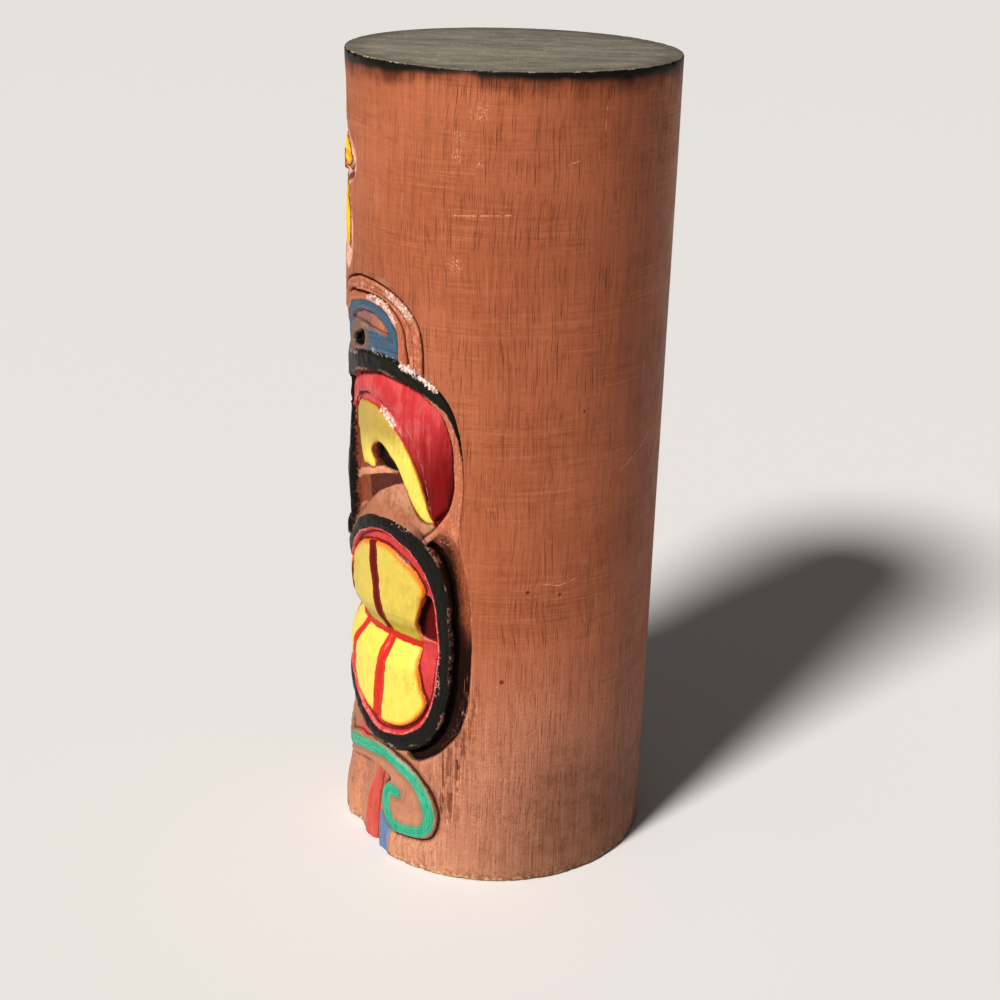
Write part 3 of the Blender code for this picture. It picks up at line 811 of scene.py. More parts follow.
def noise(place, scale, detail=2.0, roughness=0.5):
    return Value.node("ShaderNodeTexNoise", {"noise_dimensions": "3D"},
                      {"Vector": place, "Scale": scale, "Detail": detail, "Roughness": roughness})


def stretched(place, x, y, z, seed=0.0):
    return Value.node("ShaderNodeVectorMath", {"operation": "MULTIPLY_ADD"},
                      {0: place, 1: (x, y, z), 2: (seed, seed, seed)})


class Coats:
    """The paint so far, coat over coat: its colour, its roughness and its height."""

    def __init__(self, colour, roughness, height):
        self.colour = colour
        self.roughness = roughness
        self.height = height

    def lay(self, share, colour, strength=1.0, roughness=None, height=0.0):
        """Lays a colour over a share of the surface, at a strength, and lifts or sinks it by a height."""
        share = share if strength == 1 else share * strength
        self.colour = blend(share, self.colour, colour)
        if roughness is not None:
            self.roughness = self.roughness + share * (roughness - self.roughness)
        if height:
            self.height = self.height + share * height

    def glaze(self, share, tint, strength=1.0):
        """Darkens what is there, leaving a tint's shares of its red, green and blue."""
        share = share if strength == 1 else share * strength
        self.colour = blend(share, self.colour, tint + (1,), "MULTIPLY")


paint = bpy.data.materials.new("painted_wood")
paint.use_nodes = True
Value.tree = paint.node_tree
shader = paint.node_tree.nodes["Principled BSDF"]
shader.inputs["Specular IOR Level"].default_value = 0.35

place = Value.node("ShaderNodeTexCoord", output=3)
x = Value.node("ShaderNodeSeparateXYZ", inputs={"Vector": place})
y = Value(x.socket.node.outputs["Y"])
z = Value(x.socket.node.outputs["Z"])
turn = Value.node("ShaderNodeMath", {"operation": "ARCTAN2"}, {0: x, 1: y * -1.0})
across = turn * RADIUS
half = across.math("ABSOLUTE")

# The patterns that make the paint uneven, from wide to fine, and along the grain.
drift = noise(place, 14, 2)
blotch = noise(place, 90, 3)
flakes = noise(place, 330, 3, 0.65)
speck = noise(place, 620, 2, 0.6)
grain = noise(stretched(place, 420, 420, 9), 1, 2, 0.6)
fibre = noise(stretched(place, 1300, 1300, 30), 1, 1)
brushed = noise(stretched(place, 26, 26, 700), 1, 3, 0.7)
strokes = noise(stretched(place, 16, 16, 34, 5.0), 1, 2).between(0.40, 0.62)
crumbs = speck * 0.4 + flakes * 0.6
stains = blotch * 0.5 + flakes * 0.5
splinters = grain * 0.6 + fibre * 0.4


def sway(pattern, by):
    """A pattern that moves a limit to and fro, by half of this each way."""
    return (pattern - 0.5) * by


wobble = sway(blotch, 0.0016) + sway(speck, 0.0012)
ragged_grain = sway(splinters, 0.0012)


def inside(name, margin=0.0, softness=0.0003):
    """1 within an outline, with the unsteady edge of a brush."""
    return (stored(name) + wobble).between(margin + softness, margin - softness)


def along(name, width, softness=0.0004):
    """1 within a width of a stored line, on both its sides."""
    gap = stored(name).math("ABSOLUTE") + wobble * 0.5
    return gap.between(width / 2 + softness, width / 2 - softness)


sheet = Value.node("ShaderNodeCombineXYZ", inputs={"X": across + sway(drift, 0.012), "Y": z})


def pores(width, length, seed):
    """Short upright pores, unevenly strewn."""
    strewn = noise(stretched(sheet, 1 / width, 1 / length, 1, seed), 1, 1)
    return strewn.between(0.62, 0.72)


def streaked(name):
    """Streaks that run along a stored outline, as the brush went round it."""
    lane = Value.node("ShaderNodeCombineXYZ",
                      inputs={"X": stored(name) * 1500, "Y": drift * 9, "Z": blotch * 2})
    return noise(lane, 1, 1).between(0.36, 0.64)


# The brown, with the marks of the brush across it and the wood's grain and pores under it
BROWN = pigment(176, 112, 82)
BROWN_MID = pigment(166, 103, 73)
BROWN_DARK = pigment(126, 70, 47)
BROWN_PALE = pigment(196, 135, 104)
PORE = pigment(84, 42, 28)
relief = grain * 0.00006 + brushed * 0.00010 + fibre * 0.00004
crowded = noise(stretched(place, 38, 38, 7), 1, 1).between(0.32, 0.60)
on_side = z.between(HEIGHT - 0.0005, HEIGHT - 0.0012)
pore = (pores(0.0007, 0.040, 3.0) * 0.8 + pores(0.0005, 0.020, 7.0)) * crowded * on_side

coats = Coats(blend(drift.between(0.38, 0.62), BROWN, BROWN_MID), 0.48 + sway(blotch, 0.25), relief)
coats.lay(brushed.between(0.50, 0.68) * (0.10 + strokes * 0.30), BROWN_PALE)
coats.lay(brushed.between(0.46, 0.32) * (0.10 + strokes * 0.24), BROWN_DARK)
coats.lay(grain.between(0.50, 0.72), BROWN_DARK, 0.20)
coats.lay(fibre.between(0.56, 0.74), BROWN_DARK, 0.3)
coats.lay(fibre.between(0.42, 0.28), BROWN_PALE, 0.25)
coats.lay(speck.between(0.56, 0.72), BROWN_DARK, 0.25)

# Low down the brown is thin, and at the very foot it is rubbed off to the pale wood. The plain side is
# darker there: partly dirt, partly painted shade.
THIN_TOP = 0.19
THIN_FULL = 0.03
RUBBED_TOP = 0.045
GRIMY_TOP = 0.012
CHIPPED_FOOT = 0.0018
GREY_FOOT = 0.0022
DIRT_AND_SHADE_TOP = 0.115
DIRT_AND_SHADE_FULL = 0.03
DIRT_AND_SHADE_FROM = math.radians(72) * RADIUS
DIRT_AND_SHADE_TO = math.radians(112) * RADIUS
THIN_BROWN = pigment(188, 142, 121)
RUBBED_WOOD = pigment(208, 160, 132)
PALE_FIBRE = pigment(214, 176, 152)
BARE_WOOD = pigment(220, 194, 160)
FOOT_GREY = pigment(128, 118, 98)
GRIME = (0.55, 0.50, 0.46)
DIRT_AND_SHADE = (0.48, 0.44, 0.38)
dust = speck * 0.5 + fibre * 0.5
low_down = (z + sway(drift, 0.10) + sway(grain, 0.06)).between(THIN_TOP, THIN_FULL)
rubbed = (z + sway(drift, 0.03) + sway(fibre, 0.03)).between(RUBBED_TOP, 0.0)
grimy = (z + sway(blotch, 0.02)).between(GRIMY_TOP, 0.002) * flakes.between(0.46, 0.60)
plain_side = (across + sway(drift, 0.05)).between(DIRT_AND_SHADE_FROM, DIRT_AND_SHADE_TO)
dirt_and_shade = (z + sway(drift, 0.12)).between(DIRT_AND_SHADE_TOP, DIRT_AND_SHADE_FULL) * plain_side
coats.lay(low_down, THIN_BROWN, 0.62, 0.6)
coats.lay(low_down * dust.between(0.52, 0.64), BROWN_DARK, 0.4, 0.7)
coats.lay(low_down * dust.between(0.46, 0.36), PALE_FIBRE, 0.35, 0.6)
coats.lay(rubbed, RUBBED_WOOD, 0.55, 0.7)
coats.glaze(grimy, GRIME, 0.7)
coats.lay((z + sway(crumbs, 0.022)).between(CHIPPED_FOOT, 0.0006), BARE_WOOD, 0.8, 0.8)
coats.lay((z + sway(blotch, 0.004)).between(GREY_FOOT, 0.0006), FOOT_GREY, 0.7, 0.8)
# Partly dirt, partly painted shade: the plain side is darkened low down.
coats.glaze(dirt_and_shade * (0.35 + blotch * 0.7), DIRT_AND_SHADE)
coats.lay(pore, PORE, 0.46, 0.8, -0.0002)

# Knocks on the plain side: flaked spots, thin scratches down to the pale ground, the marks where a gouge
# slipped below the channel, and a few dents. The last number of a spot or dent is its size.
FLAKED = (
    (75.5, 47.8, 0.008), (69.2, 46.5, 0.005), (68.6, 45.4, 0.006), (76.2, 45.1, 0.003),
    (68.5, 39.5, 0.007),
)
SCRATCHES = (
    ((67.9, 42.2), (86.7, 42.4)), ((131.1, 26.8), (149.9, 28.5)), ((101.2, 20.5), (107, 20.3)),
    ((107, 20.3), (113.3, 20.6)), ((117, 46.9), (117.2, 48.1)), ((104.6, 45.1), (108, 45.3)),
)
GOUGES = (
    ((74.6, 10.4), (73.8, 9)), ((69.9, 9.2), (69.3, 7.4)), ((67.6, 8), (67.1, 6.6)),
    ((66.6, 5.8), (66, 4.4)), ((72.6, 8.4), (72.4, 7.2)), ((70.4, 6), (70.2, 4.8)),
)
DENTS = ((87.8, 14.1, 0.0020), (96, 20, 0.0016), (107.7, 19.7, 0.0014), (114.1, 31, 0.0012))
PALE_GROUND = pigment(214, 164, 138)
GOUGED = pigment(104, 56, 38)
SCRATCH_WIDTH = 0.0005
GOUGE_WIDTH = 0.0024
GOUGE_DEPTH = 0.0005
DENT_DEPTH = 0.0006
flecks = noise(stretched(place, 1500, 1500, 900), 1, 2)


def far_from(turn_there, up_there):
    """The distance to one place on the side."""
    step_x = across - turn_there * DEGREE
    step_y = z - up_there * FIFTIETH
    return (step_x * step_x + step_y * step_y).math("SQRT")


def scratch(start, end, width):
    """1 along a straight scratch between two places."""
    start_x, start_y = np.multiply(start, (DEGREE, FIFTIETH)).tolist()
    end_x, end_y = np.multiply(end, (DEGREE, FIFTIETH)).tolist()
    run_x = end_x - start_x
    run_y = end_y - start_y
    step_x = across - start_x
    step_y = z - start_y
    share = (step_x * run_x + step_y * run_y) * (1 / (run_x**2 + run_y**2))
    share = share.math("MAXIMUM", 0.0).math("MINIMUM", 1.0)
    gap_x = step_x - share * run_x
    gap_y = step_y - share * run_y
    return ((gap_x * gap_x + gap_y * gap_y).math("SQRT") + ragged_grain).between(width, width / 3)


for turn_there, up_there, size in FLAKED:
    spot = far_from(turn_there, up_there).between(size, size * 0.1)
    coats.lay(spot * flecks.between(0.55, 0.62), PALE_GROUND, 1, 0.7)
for start, end in SCRATCHES:
    coats.lay(scratch(start, end, SCRATCH_WIDTH) * flakes.between(0.36, 0.54), PALE_GROUND, 0.75, 0.7)
for start, end in GOUGES:
    coats.lay(scratch(start, end, GOUGE_WIDTH) * splinters.between(0.42, 0.54), GOUGED,
              0.6, 0.8, -GOUGE_DEPTH)
for turn_there, up_there, size in DENTS:
    hole = (far_from(turn_there, up_there) + ragged_grain).between(size, size * 0.3)
    coats.lay(hole, PORE, 0.75, 0.8, -DENT_DEPTH)

# The flower's paint: bright petals with bare pink flanks, and painted shade in the crevice between two of
# them
YELLOW = pigment(244, 200, 48)
ORANGE = pigment(214, 118, 36)
PINK = pigment(212, 156, 136)
WORN_PINK = pigment(230, 184, 168)
# A dark brown for the painted shade in grooves and crevices.
GROOVE_SHADE = pigment(70, 26, 16)
EYE_RED = pigment(178, 44, 30)
PETAL_BARE_FLANK = 0.0020
PETAL_SHADING = 0.005
VEIN_PAINT = 0.002
PETAL_BARE_REACH = 0.0092
CREVICE = ((18.5, 43.2), (9, 42.7))
CREVICE_WIDTH = 0.0034
petals = inside("petal", -PETAL_BARE_FLANK)
bevel = inside("petal", PETAL_BARE_REACH, 0.0014)
petal_line = (stored("petal") + PETAL_BARE_FLANK + wobble * 0.5).math("ABSOLUTE").between(0.0008, 0.0003)
coats.lay(bevel, PINK, 0.8, 0.65)
coats.lay(bevel * crumbs.between(0.42, 0.54), WORN_PINK, 0.9, 0.7)
# Painted shade: a dark line down the cut between two petals.
for side in (1, -1):
    start, end = [(turn_there * side, up_there) for turn_there, up_there in CREVICE]
    coats.lay(scratch(start, end, CREVICE_WIDTH), GROOVE_SHADE, 0.85, 0.7)
coats.lay(petals, YELLOW, 1, 0.42)
coats.lay(petals * stored("petal").between(-PETAL_SHADING, -0.0015), ORANGE, 0.5)
coats.lay(petals * stored("petal_vein").between(VEIN_PAINT, 0.0), ORANGE, 0.6)
# Painted shade: a dark line along each petal's edge, where its dome falls to the flank.
coats.lay(petal_line, GROOVE_SHADE, 0.75)
coats.lay(inside("flower_eye"), EYE_RED, 1, 0.45)

# The arches' paint: brown ribs worn pink between grooves lined with painted shade, round a blue field
BLUE = pigment(70, 92, 114)
BLUE_PALE = pigment(88, 110, 130)
BLACK = pigment(26, 23, 20)
BLACK_STREAK = pigment(52, 46, 40)
ARCH_BROWN = pigment(176, 108, 80)
RIB_PINK = pigment(214, 156, 132)
FIELD_EDGE = pigment(206, 150, 126)
LENS_MAUVE = pigment(158, 114, 106)
LENS_ORANGE = pigment(196, 132, 78)
HOLLOW_BROWN = pigment(134, 104, 90)
HOLLOW_SHADE_BLACK = pigment(28, 26, 20)
GROOVE_LINE = 0.0009
FIELD_EDGE_WIDTH = 0.0016
arch_inside = inside("arch_field")
arch_blue = inside("arch_blue")
arch_edge = inside("arch_blue", FIELD_EDGE_WIDTH) * (1 - arch_blue)
coats.lay(arch_inside, ARCH_BROWN, 0.5, 0.55)
coats.lay(arch_inside * (1 - inside("inner_field")) * flakes.between(0.44, 0.62), RIB_PINK, 0.6, 0.65)
coats.lay(arch_edge, FIELD_EDGE, 0.7, 0.65)
# Painted shade: a broken dark line along each groove.
for groove in ("arch_field", "inner_field"):
    coats.lay(along(groove, GROOVE_LINE) * flakes.between(0.34, 0.48), GROOVE_SHADE, 0.75, 0.7)
coats.lay(arch_blue, blend(streaked("arch_field"), BLUE, BLUE_PALE), 1, 0.5)
coats.lay(inside("arch_lens", 0.0, 0.0012),
          blend(half.between(26 * DEGREE, 38 * DEGREE), LENS_MAUVE, LENS_ORANGE), 0.85, 0.55)
coats.lay(inside("hollow_surround", 0.0, 0.0016), HOLLOW_BROWN, 0.8, 0.6)
# Painted shade: the deep hollow is painted near black.
coats.lay(inside("arch_hollow"), HOLLOW_SHADE_BLACK, 1, 0.7)

# The paint of the sockets: brown cheek and facets, red hood, yellow lid, with painted light and shade on the
# facets, ledge, hood and hollow
RED = pigment(190, 66, 68)
RED_PALE = pigment(202, 94, 98)
RED_DEEP = pigment(128, 18, 18)
RED_LINE = pigment(126, 24, 22)
WORN_RED_AND_HIGHLIGHT = pigment(232, 160, 158)
LID_YELLOW = pigment(218, 206, 106)
LID_EDGE = pigment(196, 108, 40)
OCHRE = pigment(166, 138, 76)
RIM_BROWN = pigment(186, 120, 94)
RIM_WORN = pigment(214, 164, 142)
CHEEK_BROWN = pigment(186, 139, 114)
FACET_LIT = pigment(150, 88, 62)
FACET_SHADED = pigment(100, 54, 40)
LEDGE_WORN_AND_LIT = pigment(208, 156, 130)
EYE_HOLLOW_SHADE = pigment(58, 34, 30)
SOCKET_STAIN = (0.72, 0.60, 0.54)
CHEEK_SHADE = (0.66, 0.52, 0.46)
HOOD_SHADE = (0.55, 0.35, 0.35)
FACET_SPLIT = 24.5 * DEGREE
HOOD_LINE_PAINT = 0.0009
LID_LINE_PAINT = 0.0008
in_socket = inside("socket")
hood = in_socket * inside("hood")
lid = inside("lid")
cheek = inside("cheek")
rim = inside("eye_rim") * (1 - in_socket)
rim_line = along("eye_rim", 0.0010) * z.between(0.226, 0.245) * (1 - in_socket)
hood_shaded_part = (z - half * 0.6 + sway(grain, 0.05)).between(0.250, 0.196)
lid_shade = (z - half * 0.25 + sway(grain, 0.012)).between(0.252, 0.272)
worn_and_lit_line = along("hood_line", 0.0026) * (1 - along("hood_line", 0.0011)) * (1 - lid)
coats.lay(rim, RIM_BROWN, 0.6, 0.6)
coats.lay(rim * (flakes * 0.5 + speck * 0.5).between(0.50, 0.60), RIM_WORN, 0.45, 0.7)
# Painted shade: a dark line along the upper part of the eye rim, where it steps down.
coats.lay(rim_line, GROOVE_SHADE, 0.55, 0.7)
coats.lay(in_socket, CHEEK_BROWN, 1, 0.6)
# Painted light and shade: of the two facets under the ledge, the one nearer the nose is painted lighter as
# lit, and the outer one darker as shaded.
coats.lay(in_socket * (1 - cheek),
          blend((half + wobble).between(FACET_SPLIT, FACET_SPLIT + 0.002), FACET_LIT, FACET_SHADED), 1, 0.65)
# The ledge is painted pale: partly worn paint, partly a painted highlight on its top.
coats.lay(in_socket * stored("ledge").between(LEDGE_WIDTH, LEDGE_WIDTH * 0.6), LEDGE_WORN_AND_LIT, 1, 0.65)
coats.glaze(in_socket * stains.between(0.44, 0.60), SOCKET_STAIN, 0.6)
coats.glaze(in_socket * cheek * inside("mouth", 0.009, 0.006), CHEEK_SHADE, 0.6)
coats.lay(hood, blend((blotch * 0.6 + grain * 0.4).between(0.42, 0.60), RED, RED_PALE), 1, 0.42)
# Painted shade: the lower, outer part of the hood is painted deep red and glazed darker.
coats.lay(hood * hood_shaded_part, RED_DEEP)
coats.glaze(hood * hood_shaded_part * grain.between(0.48, 0.62), HOOD_SHADE, 0.7)
coats.lay(in_socket * along("hood_line", HOOD_LINE_PAINT), RED_LINE)
# Pale speckle along the incised line: partly worn paint, partly a painted highlight on the cut's edges.
coats.lay(hood * worn_and_lit_line * crumbs.between(0.46, 0.54), WORN_RED_AND_HIGHLIGHT, 0.6, 0.6)
coats.lay(lid, LID_YELLOW, 1, 0.42)
coats.lay(lid * lid_shade, OCHRE, 0.75)
coats.lay(lid * stored("lid").between(-0.0014, -0.0003), LID_EDGE, 0.75)
coats.lay(along("lid", LID_LINE_PAINT) * in_socket, RED_LINE, 0.6)
# Painted shade: the deep eye hollow is painted dark.
coats.lay(inside("eye_hollow"), EYE_HOLLOW_SHADE, 1, 0.8)

# The black of the nose and the brow
NOSTRIL_RED = pigment(120, 30, 26)
coats.lay(inside("nose", 0.0004), BLACK, 1, 0.45)
coats.lay(inside("nostril"), NOSTRIL_RED, 1, 0.6)
coats.lay(inside("brow"), blend(streaked("brow") * 0.5, BLACK, BLACK_STREAK), 1, 0.38)

# The channel is painted nearly black: partly a dark stain, partly the painted shadow of the lip. Above its
# middle the dark thins out towards the rim, and the torn grain below it shows dark and pale fibres.
CHANNEL_STAIN_AND_SHADOW = pigment(46, 21, 15)
MOUTH_WALL_SHADOW = pigment(44, 24, 18)
TORN_PALE = pigment(214, 156, 128)
CHANNEL_STREAK = (0.6, 0.5, 0.45)
TORN_STREAK = (0.5, 0.38, 0.32)
MOUTH_WALL = 0.0045
soft_part = (z + sway(drift, 0.03)).between(0.156, 0.190)
sharp = stored("channel").between(0.0, -0.0016)
gentle = (stored("channel") + sway(speck, 0.014)).between(-0.0005, -0.0125) * 0.85
torn = inside("torn", 0.002, 0.004)
coats.lay(sharp * (1 - soft_part) + gentle * soft_part, CHANNEL_STAIN_AND_SHADOW, 1, 0.6)
coats.glaze(inside("channel") * fibre.between(0.45, 0.65), CHANNEL_STREAK, 0.6)
coats.glaze(torn * (fibre * 0.4 + flakes * 0.6).between(0.46, 0.58), TORN_STREAK, 0.4)
coats.lay(torn * fibre.between(0.40, 0.30), TORN_PALE, 0.5, 0.7)
# Painted shadow: the lip's outer wall towards the channel is painted dark.
coats.lay(inside("mouth", MOUTH_WALL, 0.001) * half.between(0.085, 0.10), MOUTH_WALL_SHADOW, 0.9, 0.6)

# The mouth's paint: a black lip, red gums and yellow teeth, parted by red lines
TOOTH_UPPER_SHADED = pigment(206, 186, 94)
TOOTH_LOWER_LIT = pigment(224, 206, 104)
GUM = pigment(194, 76, 78)
GUM_WORN = pigment(236, 150, 146)
UPPER_GAP_RED = pigment(116, 28, 14)
LOWER_GAP_RED = pigment(200, 62, 44)
BITE_RED = pigment(190, 52, 36)
POCKET_RED = pigment(104, 8, 8)
TOOTH_SHADE = (0.72, 0.78, 0.45)
POCKET_SHADE = (0.3, 0.2, 0.2)
TOOTH_EDGING = 0.0042
UPPER_GAP_PAINT = 0.0046
LOWER_GAP_PAINT = 0.0052
BITE_PAINT = 0.0027
PAINT_SOFTNESS = 0.0006
upper = stored("bite").between(-PAINT_SOFTNESS, PAINT_SOFTNESS)
mouth = inside("mouth")
gums = inside("lip")
teeth = inside("teeth")
corner = inside("corner")
upper_line = (stored("upper_gaps") + wobble).between(UPPER_GAP_PAINT, UPPER_GAP_PAINT - PAINT_SOFTNESS)
lower_line = (stored("lower_gaps") + wobble).between(LOWER_GAP_PAINT, LOWER_GAP_PAINT - PAINT_SOFTNESS)
bite_line = (stored("bite").math("ABSOLUTE") + wobble).between(BITE_PAINT, BITE_PAINT - PAINT_SOFTNESS)
coats.lay(mouth, blend(streaked("mouth") * 0.4, BLACK, BLACK_STREAK), 1, 0.42)
coats.lay(gums, GUM, 1, 0.45)
coats.lay(gums * stored("lip").between(-0.0028, -0.0006) * flakes.between(0.46, 0.60), GUM_WORN, 0.6, 0.6)
coats.lay(inside("teeth", 0.0014), RED_DEEP, 0.8)
# Painted light and shade: the upper teeth are painted a darker yellow than the lower ones, as shaded against
# lit.
coats.lay(teeth, blend(upper, TOOTH_LOWER_LIT, TOOTH_UPPER_SHADED), 1, 0.4)
coats.glaze(teeth * upper * stored("bite").between(0.016, 0.006), TOOTH_SHADE, 0.6)
coats.lay(teeth * (stored("teeth") + wobble).between(-TOOTH_EDGING, -0.0002), ORANGE, 0.9)
coats.lay(teeth * upper * upper_line, UPPER_GAP_RED)
coats.lay(teeth * (1 - upper) * lower_line, LOWER_GAP_RED)
coats.lay(teeth * bite_line, BITE_RED)
coats.lay(corner, POCKET_RED, 1, 0.6)
coats.glaze(corner * half.between(0.0985, 0.0935), POCKET_SHADE, 0.8)

# The paint of the scroll, of the stripes on the foot and of the chin
GREEN = pigment(50, 152, 124)
GREEN_PALE = pigment(88, 184, 154)
GREEN_THIN = pigment(96, 120, 100)
SCROLL_BROWN = pigment(184, 136, 112)
CHIN_RED = pigment(206, 84, 80)
STRIPE_RED = pigment(192, 86, 80)
STRIPE_BLUE = pigment(96, 130, 168)
SCROLL_SHADOW = (0.36, 0.26, 0.22)
STROKE_HALF_WIDTH = 0.0044
STROKE_FADE = 0.0080
on_scroll = inside("scroll")
round_scroll = inside("scroll", 0.0022, 0.0014) * (1 - on_scroll) * half.between(0.045, 0.07)
stroke = stored("scroll_stroke") + wobble
coats.lay(inside("chin_patch", 0.0, 0.001), CHIN_RED, 0.8, 0.5)
coats.lay(inside("red_stripe", 0.0, 0.0012) * grain.between(0.25, 0.45), STRIPE_RED, 0.85, 0.5)
coats.lay(inside("blue_stripe", 0.0, 0.0010) * grain.between(0.22, 0.42), STRIPE_BLUE, 0.9, 0.5)
coats.glaze(round_scroll, SCROLL_SHADOW, 0.75)
coats.lay(on_scroll, SCROLL_BROWN, 0.75, 0.6)
coats.lay(on_scroll * stroke.between(STROKE_FADE, 0.0034), GREEN_THIN, 0.4, 0.55)
coats.lay(on_scroll * stroke.between(STROKE_HALF_WIDTH, 0.0030),
          blend(streaked("scroll_stroke"), GREEN, GREEN_PALE), 1, 0.45)

# Wear and painted light: painted shade in the creases, paint rubbed off what stands proud (paled also as a
# painted highlight), and flakes lost along the worst edges
CREASE_SHADE = (0.26, 0.14, 0.11)
STAIN = (0.62, 0.58, 0.56)
PORE_STAIN = (0.5, 0.42, 0.4)
RUBBED_AND_LIT_EDGE = pigment(200, 150, 128)
WHITE_GROUND = pigment(228, 218, 212)
PINK_GROUND = pigment(196, 164, 150)
BARE_WIDTH = 0.0025
CHIPPED_WIDTH = 0.0022
proud = stored("proud")
crease_shade = proud.between(-0.00012, -0.0008) * (0.9 - teeth * 0.75) * (1 - inside("nose", 0.007) * 0.6)
edge = proud.between(0.00022, 0.00065) * (1 - inside("nose", 0.003) * 0.9)
flaked_off = speck * 0.45 + flakes * 0.55
cracked = flakes.between(0.36, 0.44) * fibre.between(0.30, 0.42)
bare = (stored("bare") + sway(flaked_off, 0.010)).between(BARE_WIDTH, 0.0017) * cracked
chipped = (stored("chipped") + wobble).between(CHIPPED_WIDTH, 0.0004) * flaked_off.between(0.51, 0.56)
# Painted shade: the creases, sunk below their surroundings, are darkened.
coats.glaze(crease_shade, CREASE_SHADE)
coats.glaze(stains.between(0.50, 0.66), STAIN, 0.28)
coats.glaze(pore, PORE_STAIN, 0.3)
# Pale paint on what stands proud: partly rubbed-off paint, partly a painted highlight.
coats.lay(edge * (blotch * 0.6 + speck * 0.4).between(0.49, 0.60), RUBBED_AND_LIT_EDGE, 0.45, 0.7)
coats.lay((bare * 0.9 + chipped * 0.7).math("MINIMUM", 1.0),
          blend(speck.between(0.40, 0.58), WHITE_GROUND, PINK_GROUND), 1, 0.6)

# The black top, which has run a little over the rim; its face is painted grey as a reflection on the black
# paint, with scoured streaks, and darker towards the rim
TOP_BLACK = pigment(30, 26, 22)
TOP_SHEEN_GREY = pigment(132, 127, 116)
TOP_SHEEN_PALE = pigment(160, 154, 141)
SCOUR_PALE = pigment(176, 170, 150)
PALE_CHIPS_AND_GLINTS = pigment(206, 200, 184)
PIT_DARK = pigment(58, 54, 46)
BLEED_TINT = (0.28, 0.22, 0.20)
SCOUR_TINT = (0.62, 0.62, 0.60)
TOP_EDGE_TINT = (0.45, 0.45, 0.44)
top_band = (z + sway(drift, 0.013) + sway(blotch, 0.003)).between(HEIGHT - 0.0068, HEIGHT - 0.0030)
bleed = z + sway(grain, 0.008) + sway(blotch, 0.012) + sway(drift, 0.026)
on_top = z.between(HEIGHT - 0.0006, HEIGHT - 0.0002)
smeared = noise(stretched(place, 96, 34, 1), 1, 5, 0.72).between(0.36, 0.64)
scoured = noise(stretched(place, 420, 60, 1), 1, 2, 0.6)
from_axis = (x * x + y * y).math("SQRT")
top_edge = (from_axis + sway(blotch, 0.02)).between(RADIUS - 0.016, RADIUS - 0.002)
off_rim = (from_axis - RADIUS).math("ABSOLUTE") + (HEIGHT - z).math("MAXIMUM", 0.0)
rim_chips = (drift * 0.3 + blotch * 0.35 + speck * 0.35).between(0.50, 0.55)
coats.glaze(bleed.between(HEIGHT - 0.016, HEIGHT - 0.003), BLEED_TINT, 0.85)
coats.lay(top_band, TOP_BLACK, 1, 0.42)
# Painted reflection: the black top's face is painted grey, as the sheen on it.
coats.lay(on_top, blend(smeared, TOP_SHEEN_GREY, TOP_SHEEN_PALE), 1, 0.34)
coats.glaze(on_top * scoured.between(0.52, 0.66), SCOUR_TINT, 0.5)
coats.lay(on_top * scoured.between(0.36, 0.28), SCOUR_PALE, 0.3, 0.5)
# Pale flecks on the top: partly chips, partly painted glints.
coats.lay(on_top * flakes.between(0.60, 0.68), PALE_CHIPS_AND_GLINTS, 0.5, 0.5)
coats.lay(on_top * speck.between(0.60, 0.70), PIT_DARK, 0.6, 0.6)
coats.glaze(on_top * top_edge, TOP_EDGE_TINT, 0.55)
coats.lay(off_rim.between(0.0010, 0.0005) * rim_chips, PALE_CHIPS_AND_GLINTS, 0.75, 0.7)

bump = Value.node("ShaderNodeBump", inputs={"Strength": 1.0, "Distance": 1.0, "Height": coats.height})
for name, value in (("Base Color", coats.colour), ("Roughness", coats.roughness), ("Normal", bump)):
    Value.tree.links.new(value.socket, shader.inputs[name])
log_mesh.materials.append(paint)

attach(log, "root")
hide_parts("carved_log")

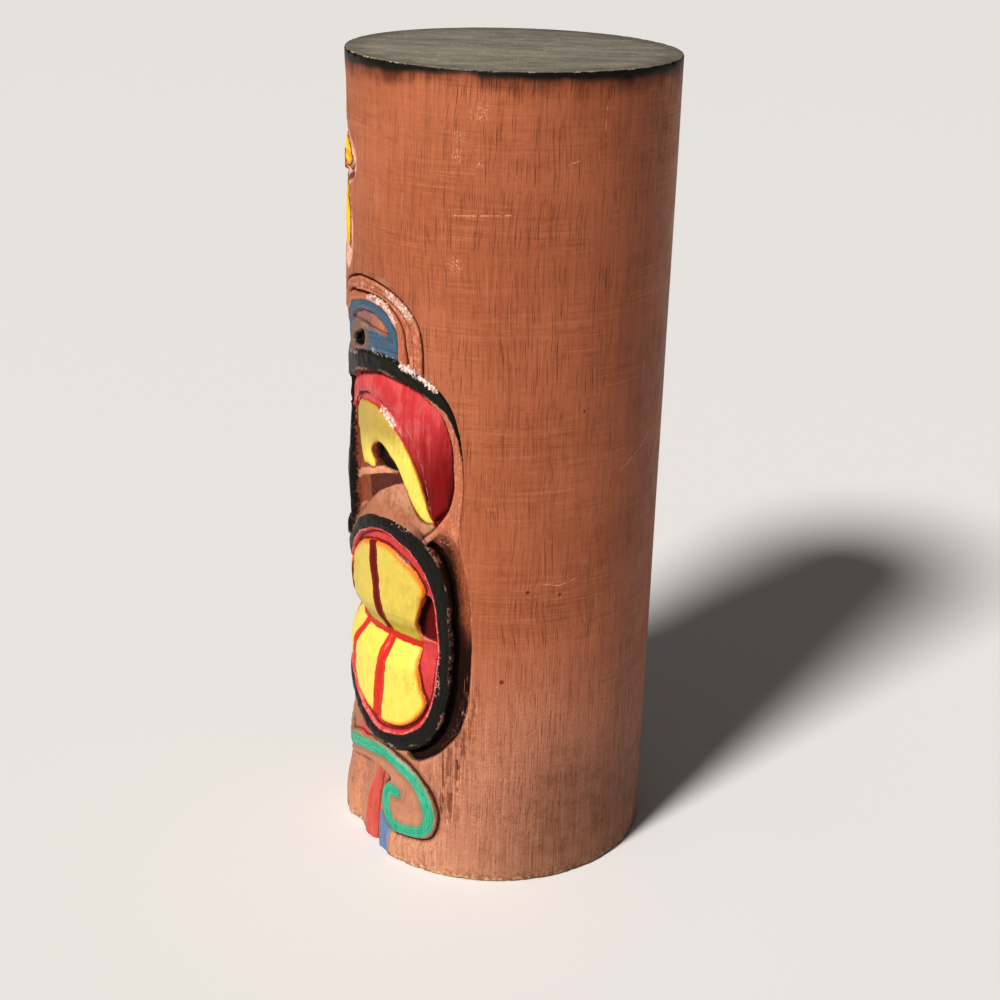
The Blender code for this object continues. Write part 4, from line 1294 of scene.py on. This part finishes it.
# The room
# A plain pale floor under a broad soft light from the face's side, a pale room round it, and the
# camera a little above the statue, looking at its left side.
floor_bm = bmesh.new()
bmesh.ops.create_grid(floor_bm, x_segments=1, y_segments=1, size=12)
floor_mesh = bpy.data.meshes.new("floor")
floor_bm.to_mesh(floor_mesh)
floor_bm.free()
floor = bpy.data.objects.new("floor", floor_mesh)
bpy.context.collection.objects.link(floor)
floor_paint = bpy.data.materials.new("pale_floor")
floor_paint.use_nodes = True
floor_shader = floor_paint.node_tree.nodes["Principled BSDF"]
floor_shader.inputs["Base Color"].default_value = (0.74, 0.74, 0.76, 1)
floor_shader.inputs["Roughness"].default_value = 0.9
floor_mesh.materials.append(floor_paint)


def direction(azimuth, elevation):
    """A unit step from the statue towards a place round it: azimuth 0 is its front, 90 its left side."""
    from_side = math.radians(azimuth)
    rise = math.radians(elevation)
    level = math.cos(rise)
    return np.array((math.sin(from_side) * level, -math.cos(from_side) * level, math.sin(rise)))


def facing(obj, towards, roll=0.0):
    """Turns a lamp or camera at its place to look along a direction, rolled clockwise by an angle."""
    look = Vector(towards).to_track_quat("-Z", "Y").to_matrix().to_4x4()
    obj.matrix_world = Matrix.Translation(obj.location) @ look @ Matrix.Rotation(roll, 4, "Z")


KEY_DIRECTION = direction(48, 43)
key = bpy.data.objects.new("key", bpy.data.lights.new("key", "SUN"))
key.data.energy = 3.1
key.data.angle = math.radians(12)
key.data.color = (1.0, 0.96, 0.90)
bpy.context.collection.objects.link(key)
facing(key, -KEY_DIRECTION)

world = bpy.data.worlds.new("room")
bpy.context.scene.world = world
world.use_nodes = True
world.node_tree.nodes["Background"].inputs["Color"].default_value = (1.0, 0.98, 0.94, 1)
world.node_tree.nodes["Background"].inputs["Strength"].default_value = 0.12

CAMERA_TARGET = np.array((0, -0.0011, 0.22))
CAMERA_DISTANCE = 1.093
CAMERA_AZIMUTH = 86
CAMERA_ELEVATION = 21.8
CAMERA_ROLL = math.radians(1.59)
camera = bpy.data.objects.new("camera", bpy.data.cameras.new("camera"))
camera.data.lens = 62.0
camera.data.sensor_width = 36
view_side = direction(CAMERA_AZIMUTH, CAMERA_ELEVATION)
camera.location = CAMERA_TARGET + CAMERA_DISTANCE * view_side
bpy.context.collection.objects.link(camera)
facing(camera, -view_side, CAMERA_ROLL)
bpy.context.scene.camera = camera
bpy.context.scene.view_settings.view_transform = "Standard"
bpy.context.scene.view_settings.look = "High Contrast"
